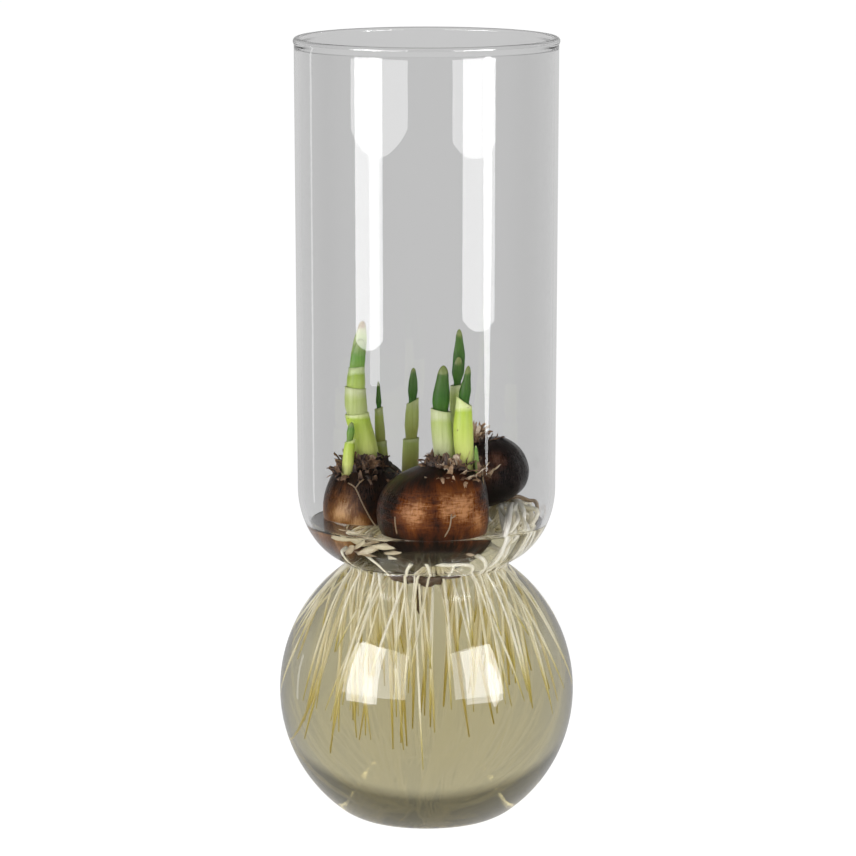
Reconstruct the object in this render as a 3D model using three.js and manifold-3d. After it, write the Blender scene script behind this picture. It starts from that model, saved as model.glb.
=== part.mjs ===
// Paperwhite bulbs forced in water, in a glass vase with a ball foot, a narrow waist and a tall tube.
// Millimetres, +Z up, origin at the middle of the foot. -Y is the front.
import * as THREE from 'three';
import { mergeVertices } from 'three/addons/utils/BufferGeometryUtils.js';
import Module from 'manifold-3d';

const wasm = await Module();
wasm.setup();

// ---------------------------------------------------------------- driving dimensions

const GAP = 0.3;              // clearance between neighbouring pieces
const GOLDEN = 0.618034;      // fraction that spreads repeated things evenly
const DEG = Math.PI / 180;

const VASE = {
  height: 373.5,
  wall: 2.2,
  floor: 4.0,
  sides: 40,
  ball: { radius: 70.0, above: 72.0, below: 70.5, centre: 62.3 },
  cup: { corner: 31.45, depth: 37.1, top: 159.9 },
  tube: { bottomRadius: 61.15, topRadius: 62.3 },
  waist: { outer: 36.6, inner: 32.1, blend: 39.5, innerBlend: 38.5, height: 123.6 },
  foot: { flat: 27.5, blend: 4.5 },
  bead: { radius: 1.7, proud: 0.5 },
};

const WATER_LEVEL = 143.5;

// at: middle of the widest ring. above and below: heights of the shoulder and of the base from it.
const BULBS = {
  front: {
    at: [2.9, -30, 154.5], radius: 26.2, above: 21, below: 22.5, neck: 9, neckRise: 2.5,
    lean: [8, 1], tilt: 0, plate: 7, colour: 0x6b3413,
  },
  left: {
    at: [-28, 10, 147], radius: 21.8, above: 22, below: 19.5, neck: 7.5, neckRise: 3,
    lean: [-2, 0], tilt: 0, plate: 6, colour: 0x7a4418,
  },
  right: {
    at: [29.6, 18, 163.5], radius: 20.4, above: 15.5, below: 15, neck: 5, neckRise: 3.5,
    lean: [0, 0], tilt: -20, plate: 6, colour: 0x2c140d,
  },
  rear: {
    at: [-5.5, 39.5, 146.5], radius: 12.8, above: 11, below: 13, neck: 5, neckRise: 2,
    lean: [-2, 0], tilt: 0, plate: 4, colour: 0x4a2612,
  },
};

// The left bulb carries a second nose, grown as one with it.
const LEFT_OFFSET = {
  at: [-21, 16, 151], radius: 13.6, above: 17, below: 16, neck: 4.5, neckRise: 1.5,
  lean: [0, 0], tilt: 0, plate: 4,
};

// Papery crown around each neck: rise above the shoulder, flare of its rim and depth of its tears.
const TUNICS = {
  front: { foot: -3, rise: 8, spread: 13.5, flare: 1.0, tear: 2.6, tears: 9 },
  left: { foot: -3, rise: 7, spread: 10.5, flare: 1.5, tear: 2.2, tears: 8 },
  right: { foot: -2, rise: 9, spread: 7, flare: 1.5, tear: 2.8, tears: 6 },
  rear: { foot: -2, rise: 4, spread: 7, flare: 0.5, tear: 1.2, tears: 5 },
};
const TUNIC_WALL = 1.3;

// Roots of each bulb pass the waist inside a sector of their own and end in the ball.
const ROOT = { radius: 0.62, sides: 3, steps: 5, waistHeight: 122.5, plateThickness: 2.4 };
const ROOTS = {
  front: { count: 13, middle: -91, spread: 76, throat: [9, 32.5], reach: [14, 50], tip: [42, 92] },
  left: { count: 10, middle: 161, spread: 66, throat: [9, 32.5], reach: [14, 52], tip: [40, 88] },
  right: { count: 12, middle: 17, spread: 112, throat: [11, 32.5], reach: [18, 52], tip: [46, 96] },
  rear: { count: 4, middle: 99, spread: 34, throat: [12, 30], reach: [16, 40], tip: [52, 84] },
};

// Scraps of shed skin afloat: middle, length, width, turn about Z and tilt.
const SCRAPS = [
  { at: [-24.5, -42.5, 142.6], size: [11, 5.5, 1.2], turn: -30, tilt: 8 },
  { at: [-4.5, 2, 143.0], size: [9, 4, 1.0], turn: 80, tilt: -6 },
  { at: [-37, -30, 142.9], size: [8, 3.4, 1.0], turn: -55, tilt: 5 },
];

// A shoot's spine is [height, x, y] from its foot to its tip. A sheath's outline is [height, radius];
// a leaf's is [height, half width], with its thickness and its offset from the spine.
const SHOOTS = {
  left_tall: {
    spine: [[166, -26.8, 9.5], [180, -29.6, 9.8], [192.6, -33.4, 10], [204, -33.8, 10],
      [214, -33.4, 10], [226, -31.6, 10], [236, -30.3, 10]],
    sheaths: {
      outer_sheath: { outline: [[168, 5.7], [185, 5.9], [193, 5.7]], slant: 0.6 },
      middle_sheath: { outline: [[168, 4.4], [190, 4.7], [197, 5.1], [204.2, 5.0]], slant: -0.5 },
      inner_sheath: { outline: [[168, 3.4], [190, 3.7], [207, 3.9], [213.9, 3.75]], slant: 0.4 },
    },
    leaves: {
      front_leaf: { outline: [[168, 1.8], [215, 2.2], [219, 3.0], [223, 2.4], [227.5, 0]], thick: 0.42, offset: -1.45 },
      back_leaf: {
        outline: [[168, 1.8], [215, 2.2], [219, 3.2], [227, 2.9], [232, 1.8], [235.6, 0]], thick: 0.42, offset: 1.45,
      },
    },
  },
  left_small: {
    spine: [[164, -37.6, 1], [175, -37, 1], [190, -35.3, 1]],
    sheaths: { sheath: { outline: [[165, 2.9], [176, 2.7], [181.5, 2.45]], slant: 0.8 } },
    leaves: { leaf: { outline: [[165, 1.4], [182, 1.5], [184.5, 1.9], [189.8, 0]], thick: 0.9, offset: 0 } },
  },
  left_thin: {
    spine: [[165, -20.9, 17], [176, -21.9, 17], [193, -22.9, 17], [206, -23.1, 17]],
    sheaths: {
      outer_sheath: { outline: [[166, 3.3], [176, 3.0], [177.5, 2.95]], slant: 0.3 },
      inner_sheath: { outline: [[166, 2.3], [176, 2.35], [182, 2.5], [193.2, 1.9]], slant: 0.6 },
    },
    leaves: { leaf: { outline: [[166, 1.0], [193.8, 1.0], [196, 1.4], [202, 0.9], [206, 0]], thick: 0.9, offset: 0 } },
  },
  rear: {
    spine: [[158, -8, 39.5], [176, -7.5, 39.5], [194, -6.8, 39.5], [210, -6.3, 39.5]],
    sheaths: {
      outer_sheath: { outline: [[158, 4.1], [170, 4.0], [176.4, 3.85]], slant: 0.4 },
      inner_sheath: { outline: [[158, 2.6], [177, 2.75], [182, 3.4], [188, 3.3], [194.2, 2.9]], slant: 1.6 },
    },
    leaves: {
      leaf: { outline: [[158, 1.7], [195, 1.8], [199, 2.4], [204, 2.1], [208, 1.3], [210.3, 0]], thick: 0.8, offset: 0 },
    },
  },
  front_left: {
    spine: [[172, 9, -28.5], [184, 7.8, -29], [198, 6.7, -29], [209, 7.4, -29], [219, 8.3, -29]],
    sheaths: { sheath: { outline: [[172, 4.6], [184, 5.1], [190, 5.1], [198, 4.7]], slant: -0.9 } },
    leaves: {
      leaf: { outline: [[172, 3.0], [198, 3.5], [202, 4.1], [206, 3.9], [213, 2.8], [219, 0]], thick: 0.75, offset: 0 },
    },
  },
  front_tall: {
    spine: [[170, 16.2, -19.5], [186, 15.2, -19.5], [200, 14.2, -20], [211, 14.2, -20],
      [224, 15.2, -20], [236, 15.1, -20]],
    sheaths: { sheath: { outline: [[171, 3.9], [190, 3.7], [204, 3.3], [210.5, 3.05]], slant: 0.5 } },
    leaves: {
      front_leaf: { outline: [[171, 1.5], [211, 1.6], [214, 2.4], [218, 2.0], [223, 0]], thick: 0.32, offset: -1.1 },
      back_leaf: {
        outline: [[171, 1.5], [211, 1.6], [215, 2.9], [224, 2.8], [231, 1.7], [236, 0]], thick: 0.32, offset: 1.1,
      },
    },
  },
  front_right: {
    spine: [[170, 18.4, -32.5], [182, 17.3, -33], [194, 16.9, -33], [206, 17.7, -33], [220, 19.8, -33]],
    sheaths: { sheath: { outline: [[170, 3.9], [182, 4.6], [191, 4.65], [200, 3.9], [203.5, 3.5]], slant: -2.4 } },
    leaves: {
      leaf: { outline: [[170, 2.4], [190, 2.9], [203, 2.4], [208, 2.8], [214, 1.7], [220, 0]], thick: 0.8, offset: 0 },
    },
  },
  front: {
    spine: [[172, 23.4, -35.4], [186, 22.7, -35.8]],
    sheaths: {},
    leaves: { sprout: { outline: [[172, 0.9], [178, 1.15], [182, 0.8], [185, 0]], thick: 0.8, offset: 0 } },
  },
};
const SHEATH_WALL = 0.55;

const COLOUR = {
  glass: 0xdfe6e4, water: 0xd8d2b4, root: 0xe9e2c4, plate: 0x5a3b1e, tunic: 0x8a6440,
  sheath: 0xc9d39a, leaf: 0x3f9a45, scrap: 0xe2d3b2,
};

// ---------------------------------------------------------------- general shape tools

// A height table as a function that gives the other columns at any height.
function sampler(rows, Interpolant) {
  const heights = rows.map((row) => row[0]);
  const values = rows.flatMap((row) => row.slice(1));
  const table = new Interpolant(heights, values, rows[0].length - 1);
  return (height) => {
    const inside = THREE.MathUtils.clamp(height, heights[0], heights[heights.length - 1]);
    return Array.from(table.evaluate(inside));
  };
}

// Points of an elliptical arc in the (radius, height) plane, ends included.
function arc(middle, half, from, to, count) {
  const points = [];
  for (let i = 0; i <= count; i += 1) {
    const angle = from + (to - from) * (i / count);
    points.push([middle[0] + half[0] * Math.cos(angle), middle[1] + half[1] * Math.sin(angle)]);
  }
  return points;
}

// Points of a curve that leaves its first point towards a corner and arrives from it at its last.
function blend(start, corner, end, count) {
  const [a, b, c] = [start, corner, end].map(([r, z]) => new THREE.Vector2(r, z));
  return new THREE.QuadraticBezierCurve(a, b, c).getPoints(count).map((p) => [p.x, p.y]);
}

// A body of revolution about +Z from a profile of [radius, height].
function turned(profile, sides) {
  const points = profile.map(([r, z]) => new THREE.Vector2(r, z));
  return new THREE.LatheGeometry(points, sides).rotateX(Math.PI / 2);
}

// Moves every vertex of a geometry through a function of its place.
function reshape(geometry, move) {
  const place = geometry.attributes.position;
  for (let i = 0; i < place.count; i += 1) {
    const [x, y, z] = move(place.getX(i), place.getY(i), place.getZ(i));
    place.setXYZ(i, x, y, z);
  }
  return geometry;
}

// A closed geometry as a solid for cutting and joining.
function solid(geometry) {
  const bare = geometry.clone();
  bare.deleteAttribute('normal');
  bare.deleteAttribute('uv');
  const merged = mergeVertices(bare, 1e-4);
  const made = new wasm.Manifold(new wasm.Mesh({
    numProp: 3,
    vertProperties: new Float32Array(merged.attributes.position.array),
    triVerts: new Uint32Array(merged.index.array),
  }));
  return made;
}

// A solid's largest connected piece as a geometry.
function geometryOf(body) {
  const largest = body.decompose().reduce((a, b) => (a.volume() > b.volume() ? a : b));
  const mesh = largest.getMesh();
  const geometry = new THREE.BufferGeometry();
  geometry.setAttribute('position', new THREE.BufferAttribute(mesh.vertProperties, 3));
  geometry.setIndex(new THREE.BufferAttribute(mesh.triVerts, 1));
  return geometry;
}

const group = new THREE.Group();

// Adds a named sub-part to the model.
function addPart(name, body, colour, finish = {}) {
  const geometry = body.isBufferGeometry ? body : geometryOf(body);
  const material = new THREE.MeshStandardMaterial({ color: colour, roughness: 0.5, metalness: 0, ...finish });
  const mesh = new THREE.Mesh(geometry, material);
  mesh.name = name;
  group.add(mesh);
}

// ---------------------------------------------------------------- vase and water

// Angle on the ball's profile where its radius has a given value, above or below its middle.
function ballAngle(radius, ballRadius) {
  return Math.acos(radius / ballRadius);
}

// The outside of the vase from the middle of the foot up to the bead.
function outerProfile() {
  const { ball, cup, tube, waist, foot, bead } = VASE;
  const footAngle = -Math.asin((ball.centre - foot.blend) / ball.below);
  const waistAngle = ballAngle(waist.blend, ball.radius);
  const ballArc = arc([0, ball.centre], [ball.radius, ball.above], 0, waistAngle, 7);
  const lowArc = arc([0, ball.centre], [ball.radius, ball.below], footAngle, 0, 7);
  const footEdge = ball.radius * Math.sqrt(1 - (ball.centre / ball.below) ** 2);
  const axis = tube.bottomRadius - cup.corner;
  const cupStart = -Math.acos((waist.blend - axis) / cup.corner);
  const cupArc = arc([axis, cup.top], [cup.corner, cup.depth], cupStart, 0, 7);
  const beadMiddle = [tube.topRadius + bead.proud - bead.radius, VASE.height - bead.radius];
  return [
    [0, 0],
    ...blend([foot.flat, 0], [footEdge, 0], lowArc[0], 2),
    ...lowArc.slice(1),
    ...ballArc.slice(1),
    ...blend(ballArc[ballArc.length - 1], [waist.outer, waist.height], cupArc[0], 3).slice(1),
    ...cupArc.slice(1),
    [tube.topRadius, VASE.height - 3 * bead.radius],
    ...arc(beadMiddle, [bead.radius, bead.radius], 0, Math.PI, 4),
  ];
}

// The inside of the vase from the axis up, standing in from the glass by a gap, up to a height.
function cavityProfile(gap, top) {
  const { ball, cup, tube, waist, floor, wall } = VASE;
  const inset = wall + gap;
  const radius = ball.radius - inset;
  const bottom = floor + gap;
  const below = ball.below - inset;
  const floorAngle = -Math.asin((ball.centre - bottom - 2) / below);
  const floorEdge = radius * Math.sqrt(1 - ((ball.centre - bottom) / below) ** 2);
  const waistAngle = ballAngle(waist.innerBlend - gap, radius);
  const lowArc = arc([0, ball.centre], [radius, below], floorAngle, 0, 6);
  const ballArc = arc([0, ball.centre], [radius, ball.above - inset], 0, waistAngle, 6);
  const axis = tube.bottomRadius - cup.corner;
  const corner = cup.corner - inset;
  const depth = cup.depth - inset;
  const cupStart = -Math.acos((waist.innerBlend - gap - axis) / corner);
  const cupEnd = Math.min(0, Math.asin(Math.min(0, (top - cup.top) / depth)));
  const cupArc = arc([axis, cup.top], [corner, depth], cupStart, cupEnd, 6);
  return [
    [0, bottom],
    ...blend([floorEdge - 5, bottom], [floorEdge, bottom], lowArc[0], 2),
    ...lowArc.slice(1),
    ...ballArc.slice(1),
    ...blend(ballArc[ballArc.length - 1], [waist.inner - gap, waist.height], cupArc[0], 3).slice(1),
    ...cupArc.slice(1),
  ];
}

function glassVase() {
  const { bead, height, tube, wall, sides } = VASE;
  const inside = cavityProfile(0, height);
  const lip = [tube.topRadius - wall, height - 3 * bead.radius];
  return turned([...outerProfile(), lip, ...inside.reverse()], sides);
}

function waterFill() {
  const surface = cavityProfile(GAP, WATER_LEVEL);
  return solid(turned([...surface, [0, WATER_LEVEL]], VASE.sides));
}

// ---------------------------------------------------------------- bulbs and their papery crowns

// Places a bulb-shaped geometry: the nose leans, then the whole bulb tilts and moves to its place.
function placeBulb(geometry, bulb) {
  const top = bulb.above + bulb.neckRise;
  const leaning = reshape(geometry, (x, y, z) => {
    const share = Math.max(0, z / top) ** 2;
    return [x + bulb.lean[0] * share, y + bulb.lean[1] * share, z];
  });
  return leaning.rotateY(bulb.tilt * DEG).translate(...bulb.at);
}

// An onion-shaped body with a flat base and a short neck, grown outwards by a gap.
function bulbBody(bulb, gap = 0) {
  const { radius, above, below, neck, neckRise, plate } = bulb;
  const belly = arc([plate, 0], [radius - plate + gap, below + gap], -Math.PI / 2, 0, 5);
  const shoulder = arc([neck, 0], [radius - neck + gap, above + gap], 0, Math.PI / 2, 5);
  const profile = [
    [0, -below - gap],
    ...belly,
    ...shoulder.slice(1, -1),
    [neck + gap, above + gap],
    [neck * 0.8 + gap, above + neckRise + gap],
    [0, above + neckRise + gap],
  ];
  return solid(placeBulb(turned(profile, 20), bulb));
}

// A torn ring of dry skin that stands on the shoulder around the neck.
function tunic(bulb, crown) {
  const { foot, rise, spread, flare, tear, tears } = crown;
  const base = bulb.above + foot;
  const top = bulb.above + rise;
  const ring = turned([
    [spread, base],
    [spread - 1.5, base + (top - base) * 0.4],
    [spread - 3 + flare, top],
    [spread - 3 + flare - TUNIC_WALL, top],
    [spread - 3 - TUNIC_WALL, base + (top - base) * 0.4],
    [spread - 3 - TUNIC_WALL, base - 2],
    [spread, base],
  ], 2 * tears);
  const torn = reshape(ring, (x, y, z) => {
    const around = Math.atan2(y, x);
    const share = Math.max(0, (z - base) / (top - base));
    const ragged = Math.sin(tears * around) + 0.6 * Math.sin((tears * 2 + 1) * around + 1.3);
    return [x, y, z + tear * ragged * share * 0.6];
  });
  return solid(placeBulb(torn, bulb));
}

// ---------------------------------------------------------------- roots

// A point from polar values about the vase's axis.
function polar(radius, angle, height) {
  return new THREE.Vector3(radius * Math.cos(angle), radius * Math.sin(angle), height);
}

// A point on a bulb's own axis, a distance below its base.
function underBulb(bulb, drop) {
  const reach = bulb.below + drop;
  const tilt = bulb.tilt * DEG;
  const [x, y, z] = bulb.at;
  return new THREE.Vector3(x - reach * Math.sin(tilt), y, z - reach * Math.cos(tilt));
}

// One root's way from the base plate through the waist to its tip.
function rootPath(bulb, roots, index, gap) {
  const even = (index + 0.5) / roots.count;
  const mixed = ((index + 1) * GOLDEN) % 1;
  const angle = (roots.middle + roots.spread * (even - 0.5)) * DEG;
  const start = underBulb(bulb, ROOT.plateThickness / 2);
  const throat = THREE.MathUtils.lerp(...roots.throat, Math.sqrt(mixed));
  const reach = THREE.MathUtils.lerp(...roots.reach, Math.sqrt(mixed));
  const tip = THREE.MathUtils.lerp(...roots.tip, (index * GOLDEN * 3) % 1) - gap;
  const side = polar(bulb.plate * 0.55, angle, 0);
  const gate = polar(throat, angle, ROOT.waistHeight);
  const entry = start.clone().add(side);
  const above = entry.clone().lerp(gate, 0.6);
  above.z = THREE.MathUtils.lerp(entry.z, gate.z, 0.35);
  const inside = polar(THREE.MathUtils.lerp(throat, reach, 0.62), angle, (ROOT.waistHeight + tip) / 2 + 4);
  return new THREE.CatmullRomCurve3([entry, above, gate, inside, polar(reach, angle, tip)]);
}

// A base plate with all the roots of one bulb, grown outwards by a gap.
function rootCluster(bulb, roots, gap = 0) {
  const radius = ROOT.radius + gap * 1.3;
  const section = new THREE.Shape();
  for (let i = 0; i < ROOT.sides; i += 1) {
    const angle = (i / ROOT.sides) * 2 * Math.PI;
    const corner = [radius * Math.cos(angle), radius * Math.sin(angle)];
    if (i === 0) section.moveTo(...corner);
    else section.lineTo(...corner);
  }
  const plateTop = -bulb.below - GAP + gap;
  const plate = turned([
    [0, plateTop - ROOT.plateThickness - 2 * gap],
    [bulb.plate * 0.8 + gap, plateTop - ROOT.plateThickness - 2 * gap],
    [bulb.plate + gap, plateTop - ROOT.plateThickness / 2 - gap],
    [bulb.plate * 0.9 + gap, plateTop],
    [0, plateTop],
  ], 12);
  let cluster = solid(placeBulb(plate, bulb));
  for (let i = 0; i < roots.count; i += 1) {
    const extrudePath = rootPath(bulb, roots, i, gap);
    const strand = new THREE.ExtrudeGeometry(section, { steps: ROOT.steps, bevelEnabled: false, extrudePath });
    cluster = cluster.add(solid(strand));
  }
  return cluster;
}

// A thin curled scrap of skin.
function scrap({ at, size, turn, tilt }, gap = 0) {
  const flake = new THREE.SphereGeometry(1, 8, 5);
  const half = size.map((side) => side / 2 + gap);
  return solid(flake.scale(...half).rotateX(tilt * DEG).rotateZ(turn * DEG).translate(...at));
}

// ---------------------------------------------------------------- shoots

// Carries a body of revolution onto a shoot's spine; slant tips its top to one side.
function alongSpine(profile, spine, { sides = 10, thick = 1, offset = 0, slant = 0, rim = 0 } = {}) {
  const middle = sampler(spine, THREE.CubicInterpolant);
  return reshape(turned(profile, sides), (x, y, z) => {
    const [spineX, spineY] = middle(z);
    const nearRim = THREE.MathUtils.smoothstep(z, rim - 6, rim);
    const tip = slant === 0 ? 0 : slant * nearRim * (x / Math.max(1, Math.hypot(x, y)));
    return [x + spineX, y * thick + spineY + offset, z + tip];
  });
}

// Heights that follow an outline, with enough rows for its bends.
function heightsOf(outline, step) {
  const from = outline[0][0];
  const to = outline[outline.length - 1][0];
  const count = Math.max(3, Math.round((to - from) / step));
  return Array.from({ length: count + 1 }, (_, i) => from + ((to - from) * i) / count);
}

// A tubular sheath, open at its rim, solid wall all round, grown outwards by a gap.
function sheathBody(spine, { outline, slant }, gap = 0) {
  const radiusAt = sampler(outline, THREE.LinearInterpolant);
  const heights = heightsOf(outline, 8);
  const rim = heights[heights.length - 1];
  const outer = heights.map((z) => [radiusAt(z)[0] + gap, z]);
  const inner = heights.map((z) => [radiusAt(z)[0] - SHEATH_WALL - gap, z]).reverse();
  const profile = [...outer, ...inner, outer[0]];
  return solid(alongSpine(profile, spine, { slant, rim }));
}

// The same sheath filled in, for cutting its neighbours.
function sheathCore(spine, { outline }, gap) {
  const radiusAt = sampler(outline, THREE.LinearInterpolant);
  const outer = heightsOf(outline, 8).map((z) => [radiusAt(z)[0] + gap, z]);
  const profile = [[0, outer[0][1]], ...outer, [0, outer[outer.length - 1][1]]];
  return solid(alongSpine(profile, spine));
}

// A leaf: a flattened blade that narrows to its tip.
function leafBody(spine, { outline, thick, offset }, gap = 0) {
  const widthAt = sampler(outline, THREE.LinearInterpolant);
  const heights = heightsOf(outline, 6);
  const blade = heights.slice(0, -1).map((z) => [widthAt(z)[0] + gap, z]);
  const profile = [[0, heights[0]], ...blade, [0, heights[heights.length - 1]]];
  return solid(alongSpine(profile, spine, { thick, offset, sides: 8 }));
}

// ---------------------------------------------------------------- assembly

const bulbNames = Object.keys(BULBS);
const bodies = {};
const clearOf = {};
bulbNames.forEach((name) => {
  bodies[name] = bulbBody(BULBS[name]);
  clearOf[name] = bulbBody(BULBS[name], GAP);
});
bodies.left = bodies.left.add(bulbBody(LEFT_OFFSET));
clearOf.left = clearOf.left.add(bulbBody(LEFT_OFFSET, GAP));

const allBulbs = bulbNames.map((name) => clearOf[name]).reduce((a, b) => a.add(b));
const clusters = bulbNames.map((name) => rootCluster(BULBS[name], ROOTS[name]).subtract(allBulbs));
const channels = bulbNames.map((name) => rootCluster(BULBS[name], ROOTS[name], GAP));
const scrapRoom = SCRAPS.map((flake) => scrap(flake, GAP));
const water = [...channels, ...scrapRoom].reduce((rest, cut) => rest.subtract(cut), waterFill());

addPart('glass_vase', glassVase(), COLOUR.glass, { roughness: 0.05, transparent: true, opacity: 0.35 });
addPart('water', water.subtract(allBulbs), COLOUR.water, { roughness: 0.02, transparent: true, opacity: 0.5 });
bulbNames.forEach((name) => addPart(`bulb_${name}`, bodies[name], BULBS[name].colour, { roughness: 0.3 }));
bulbNames.forEach((name, i) => addPart(`roots_${name}`, clusters[i], COLOUR.root));
const rootRoom = channels.reduce((a, b) => a.add(b));
SCRAPS.forEach((flake, i) => {
  addPart(`skin_scrap_${i + 1}`, scrap(flake).subtract(allBulbs).subtract(rootRoom), COLOUR.scrap);
});

// Room that the shoots take up, so that the papery crowns fit round them.
let shootRoom = null;
Object.entries(SHOOTS).forEach(([name, { spine, sheaths, leaves }]) => {
  Object.entries(sheaths).forEach(([part, form]) => {
    addPart(`${name}_${part}`, sheathBody(spine, form).subtract(allBulbs), COLOUR.sheath);
    const room = sheathCore(spine, form, GAP);
    shootRoom = shootRoom ? shootRoom.add(room) : room;
  });
  Object.entries(leaves).forEach(([part, form]) => {
    addPart(`${name}_${part}`, leafBody(spine, form).subtract(allBulbs), COLOUR.leaf);
    shootRoom = shootRoom.add(leafBody(spine, form, GAP));
  });
});

bulbNames.forEach((name) => {
  const crown = tunic(BULBS[name], TUNICS[name]).subtract(allBulbs).subtract(shootRoom);
  addPart(`neck_skin_${name}`, crown, COLOUR.tunic, { roughness: 0.9 });
});

export default group;
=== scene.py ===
"""Paperwhite bulbs forced in water in a clear ball-footed vase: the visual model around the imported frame.

Sizes are millimetres. Every mesh is shaped in millimetres about the frame's origin and kept in metres.
"""

import logging
import math
import random
from dataclasses import dataclass
from enum import Enum
from typing import Callable, Iterable, Sequence

import bmesh
import bpy
from mathutils import Matrix, Vector, noise


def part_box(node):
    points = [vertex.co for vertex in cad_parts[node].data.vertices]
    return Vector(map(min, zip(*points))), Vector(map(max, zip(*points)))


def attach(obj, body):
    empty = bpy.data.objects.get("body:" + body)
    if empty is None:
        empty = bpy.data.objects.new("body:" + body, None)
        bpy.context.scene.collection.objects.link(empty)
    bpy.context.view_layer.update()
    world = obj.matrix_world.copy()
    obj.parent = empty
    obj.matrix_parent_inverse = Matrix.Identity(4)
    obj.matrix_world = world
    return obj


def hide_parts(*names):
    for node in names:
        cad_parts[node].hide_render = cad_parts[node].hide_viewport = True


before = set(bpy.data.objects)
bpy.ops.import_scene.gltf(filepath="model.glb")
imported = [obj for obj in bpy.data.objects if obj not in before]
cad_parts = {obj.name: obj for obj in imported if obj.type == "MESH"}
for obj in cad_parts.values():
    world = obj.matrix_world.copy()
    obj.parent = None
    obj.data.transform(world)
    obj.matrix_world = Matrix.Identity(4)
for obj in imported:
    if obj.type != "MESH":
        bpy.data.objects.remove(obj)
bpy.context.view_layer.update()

LOG = logging.getLogger("paperwhites")
MM = 0.001
BODY = "root"
GOLDEN = 0.618034
UP = Vector((0.0, 0.0, 1.0))

Colour = tuple[float, float, float]
Row = tuple[float, ...]


def lerp(low: float, high: float, share: float) -> float:
    """Returns the value a share of the way from low to high."""
    return low + (high - low) * share


def smooth(low: float, high: float, value: float) -> float:
    """Returns 0 below low, 1 above high and an eased value between."""
    share = min(1.0, max(0.0, (value - low) / (high - low)))
    return share * share * (3 - 2 * share)


def table(rows: Sequence[Row], height: float) -> list[float]:
    """Reads a table at a height.

    Args:
        rows: Rows of height and values, heights rising.
        height: Where to read.

    Returns:
        The values, eased between rows.
    """
    if height <= rows[0][0]:
        return list(rows[0][1:])
    for low, high in zip(rows, rows[1:]):
        if height <= high[0]:
            share = (height - low[0]) / (high[0] - low[0])
            return [lerp(a, b, share) for a, b in zip(low[1:], high[1:])]
    return list(rows[-1][1:])


def curve(points: Sequence[Vector], count: int) -> list[Vector]:
    """Lays a smooth curve through points.

    Args:
        points: Points the curve passes.
        count: How many points come back.

    Returns:
        Evenly spaced parameters of a Catmull-Rom curve, ends included.
    """
    ends = [points[0] * 2 - points[1], *points, points[-1] * 2 - points[-2]]
    spans = len(points) - 1
    laid = []
    for i in range(count):
        place = min(spans - 1e-6, spans * i / (count - 1))
        k = int(place)
        t = place - k
        a, b, c, d = ends[k:k + 4]
        laid.append(0.5 * (2 * b + (c - a) * t + (2 * a - 5 * b + 4 * c - d) * t * t
                           + (3 * b - a - 3 * c + d) * t ** 3))
    return laid


class Slot(Enum):
    """The record's material slots."""

    GLASS = "clear_glass"
    WATER = "water"
    BROWN_SKIN = "brown_skin"
    DARK_SKIN = "dark_skin"
    PAPER = "papery_skin"
    SHEATH = "pale_sheath"
    LEAF = "green_leaf"
    ROOT = "white_root"
    SCRAP = "skin_scrap"


# ---------------------------------------------------------------- shader tools


class Value:
    """A shader socket whose arithmetic adds Math nodes."""

    def __init__(self, maker: "Maker", socket: bpy.types.NodeSocket) -> None:
        """Wraps a socket of a maker's tree."""
        self.maker = maker
        self.socket = socket

    def _math(self, operation: str, first: object, second: object) -> "Value":
        """Adds one Math node on two operands and returns its result."""
        made = self.maker.node("ShaderNodeMath", {"operation": operation}, {0: first, 1: second})
        return Value(self.maker, made.outputs[0])

    def __add__(self, other: object) -> "Value":
        """Returns self + other."""
        return self._math("ADD", self, other)

    def __radd__(self, other: object) -> "Value":
        """Returns other + self."""
        return self._math("ADD", other, self)

    def __sub__(self, other: object) -> "Value":
        """Returns self - other."""
        return self._math("SUBTRACT", self, other)

    def __rsub__(self, other: object) -> "Value":
        """Returns other - self."""
        return self._math("SUBTRACT", other, self)

    def __mul__(self, other: object) -> "Value":
        """Returns self * other."""
        return self._math("MULTIPLY", self, other)

    def __rmul__(self, other: object) -> "Value":
        """Returns other * self."""
        return self._math("MULTIPLY", other, self)

    def larger(self, other: object) -> "Value":
        """Returns the larger of two values."""
        return self._math("MAXIMUM", self, other)

    def eased(self, low: float, high: float) -> "Value":
        """Eases this value between two limits.

        Args:
            low: Where the result is 0.
            high: Where the result is 1; below low, the result falls instead.

        Returns:
            The eased value.
        """
        made = self.maker.node(
            "ShaderNodeMapRange",
            {"interpolation_type": "SMOOTHSTEP"},
            {"Value": self, "From Min": low, "From Max": high, "To Min": 0.0, "To Max": 1.0},
        )
        return Value(self.maker, made.outputs[0])


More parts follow.
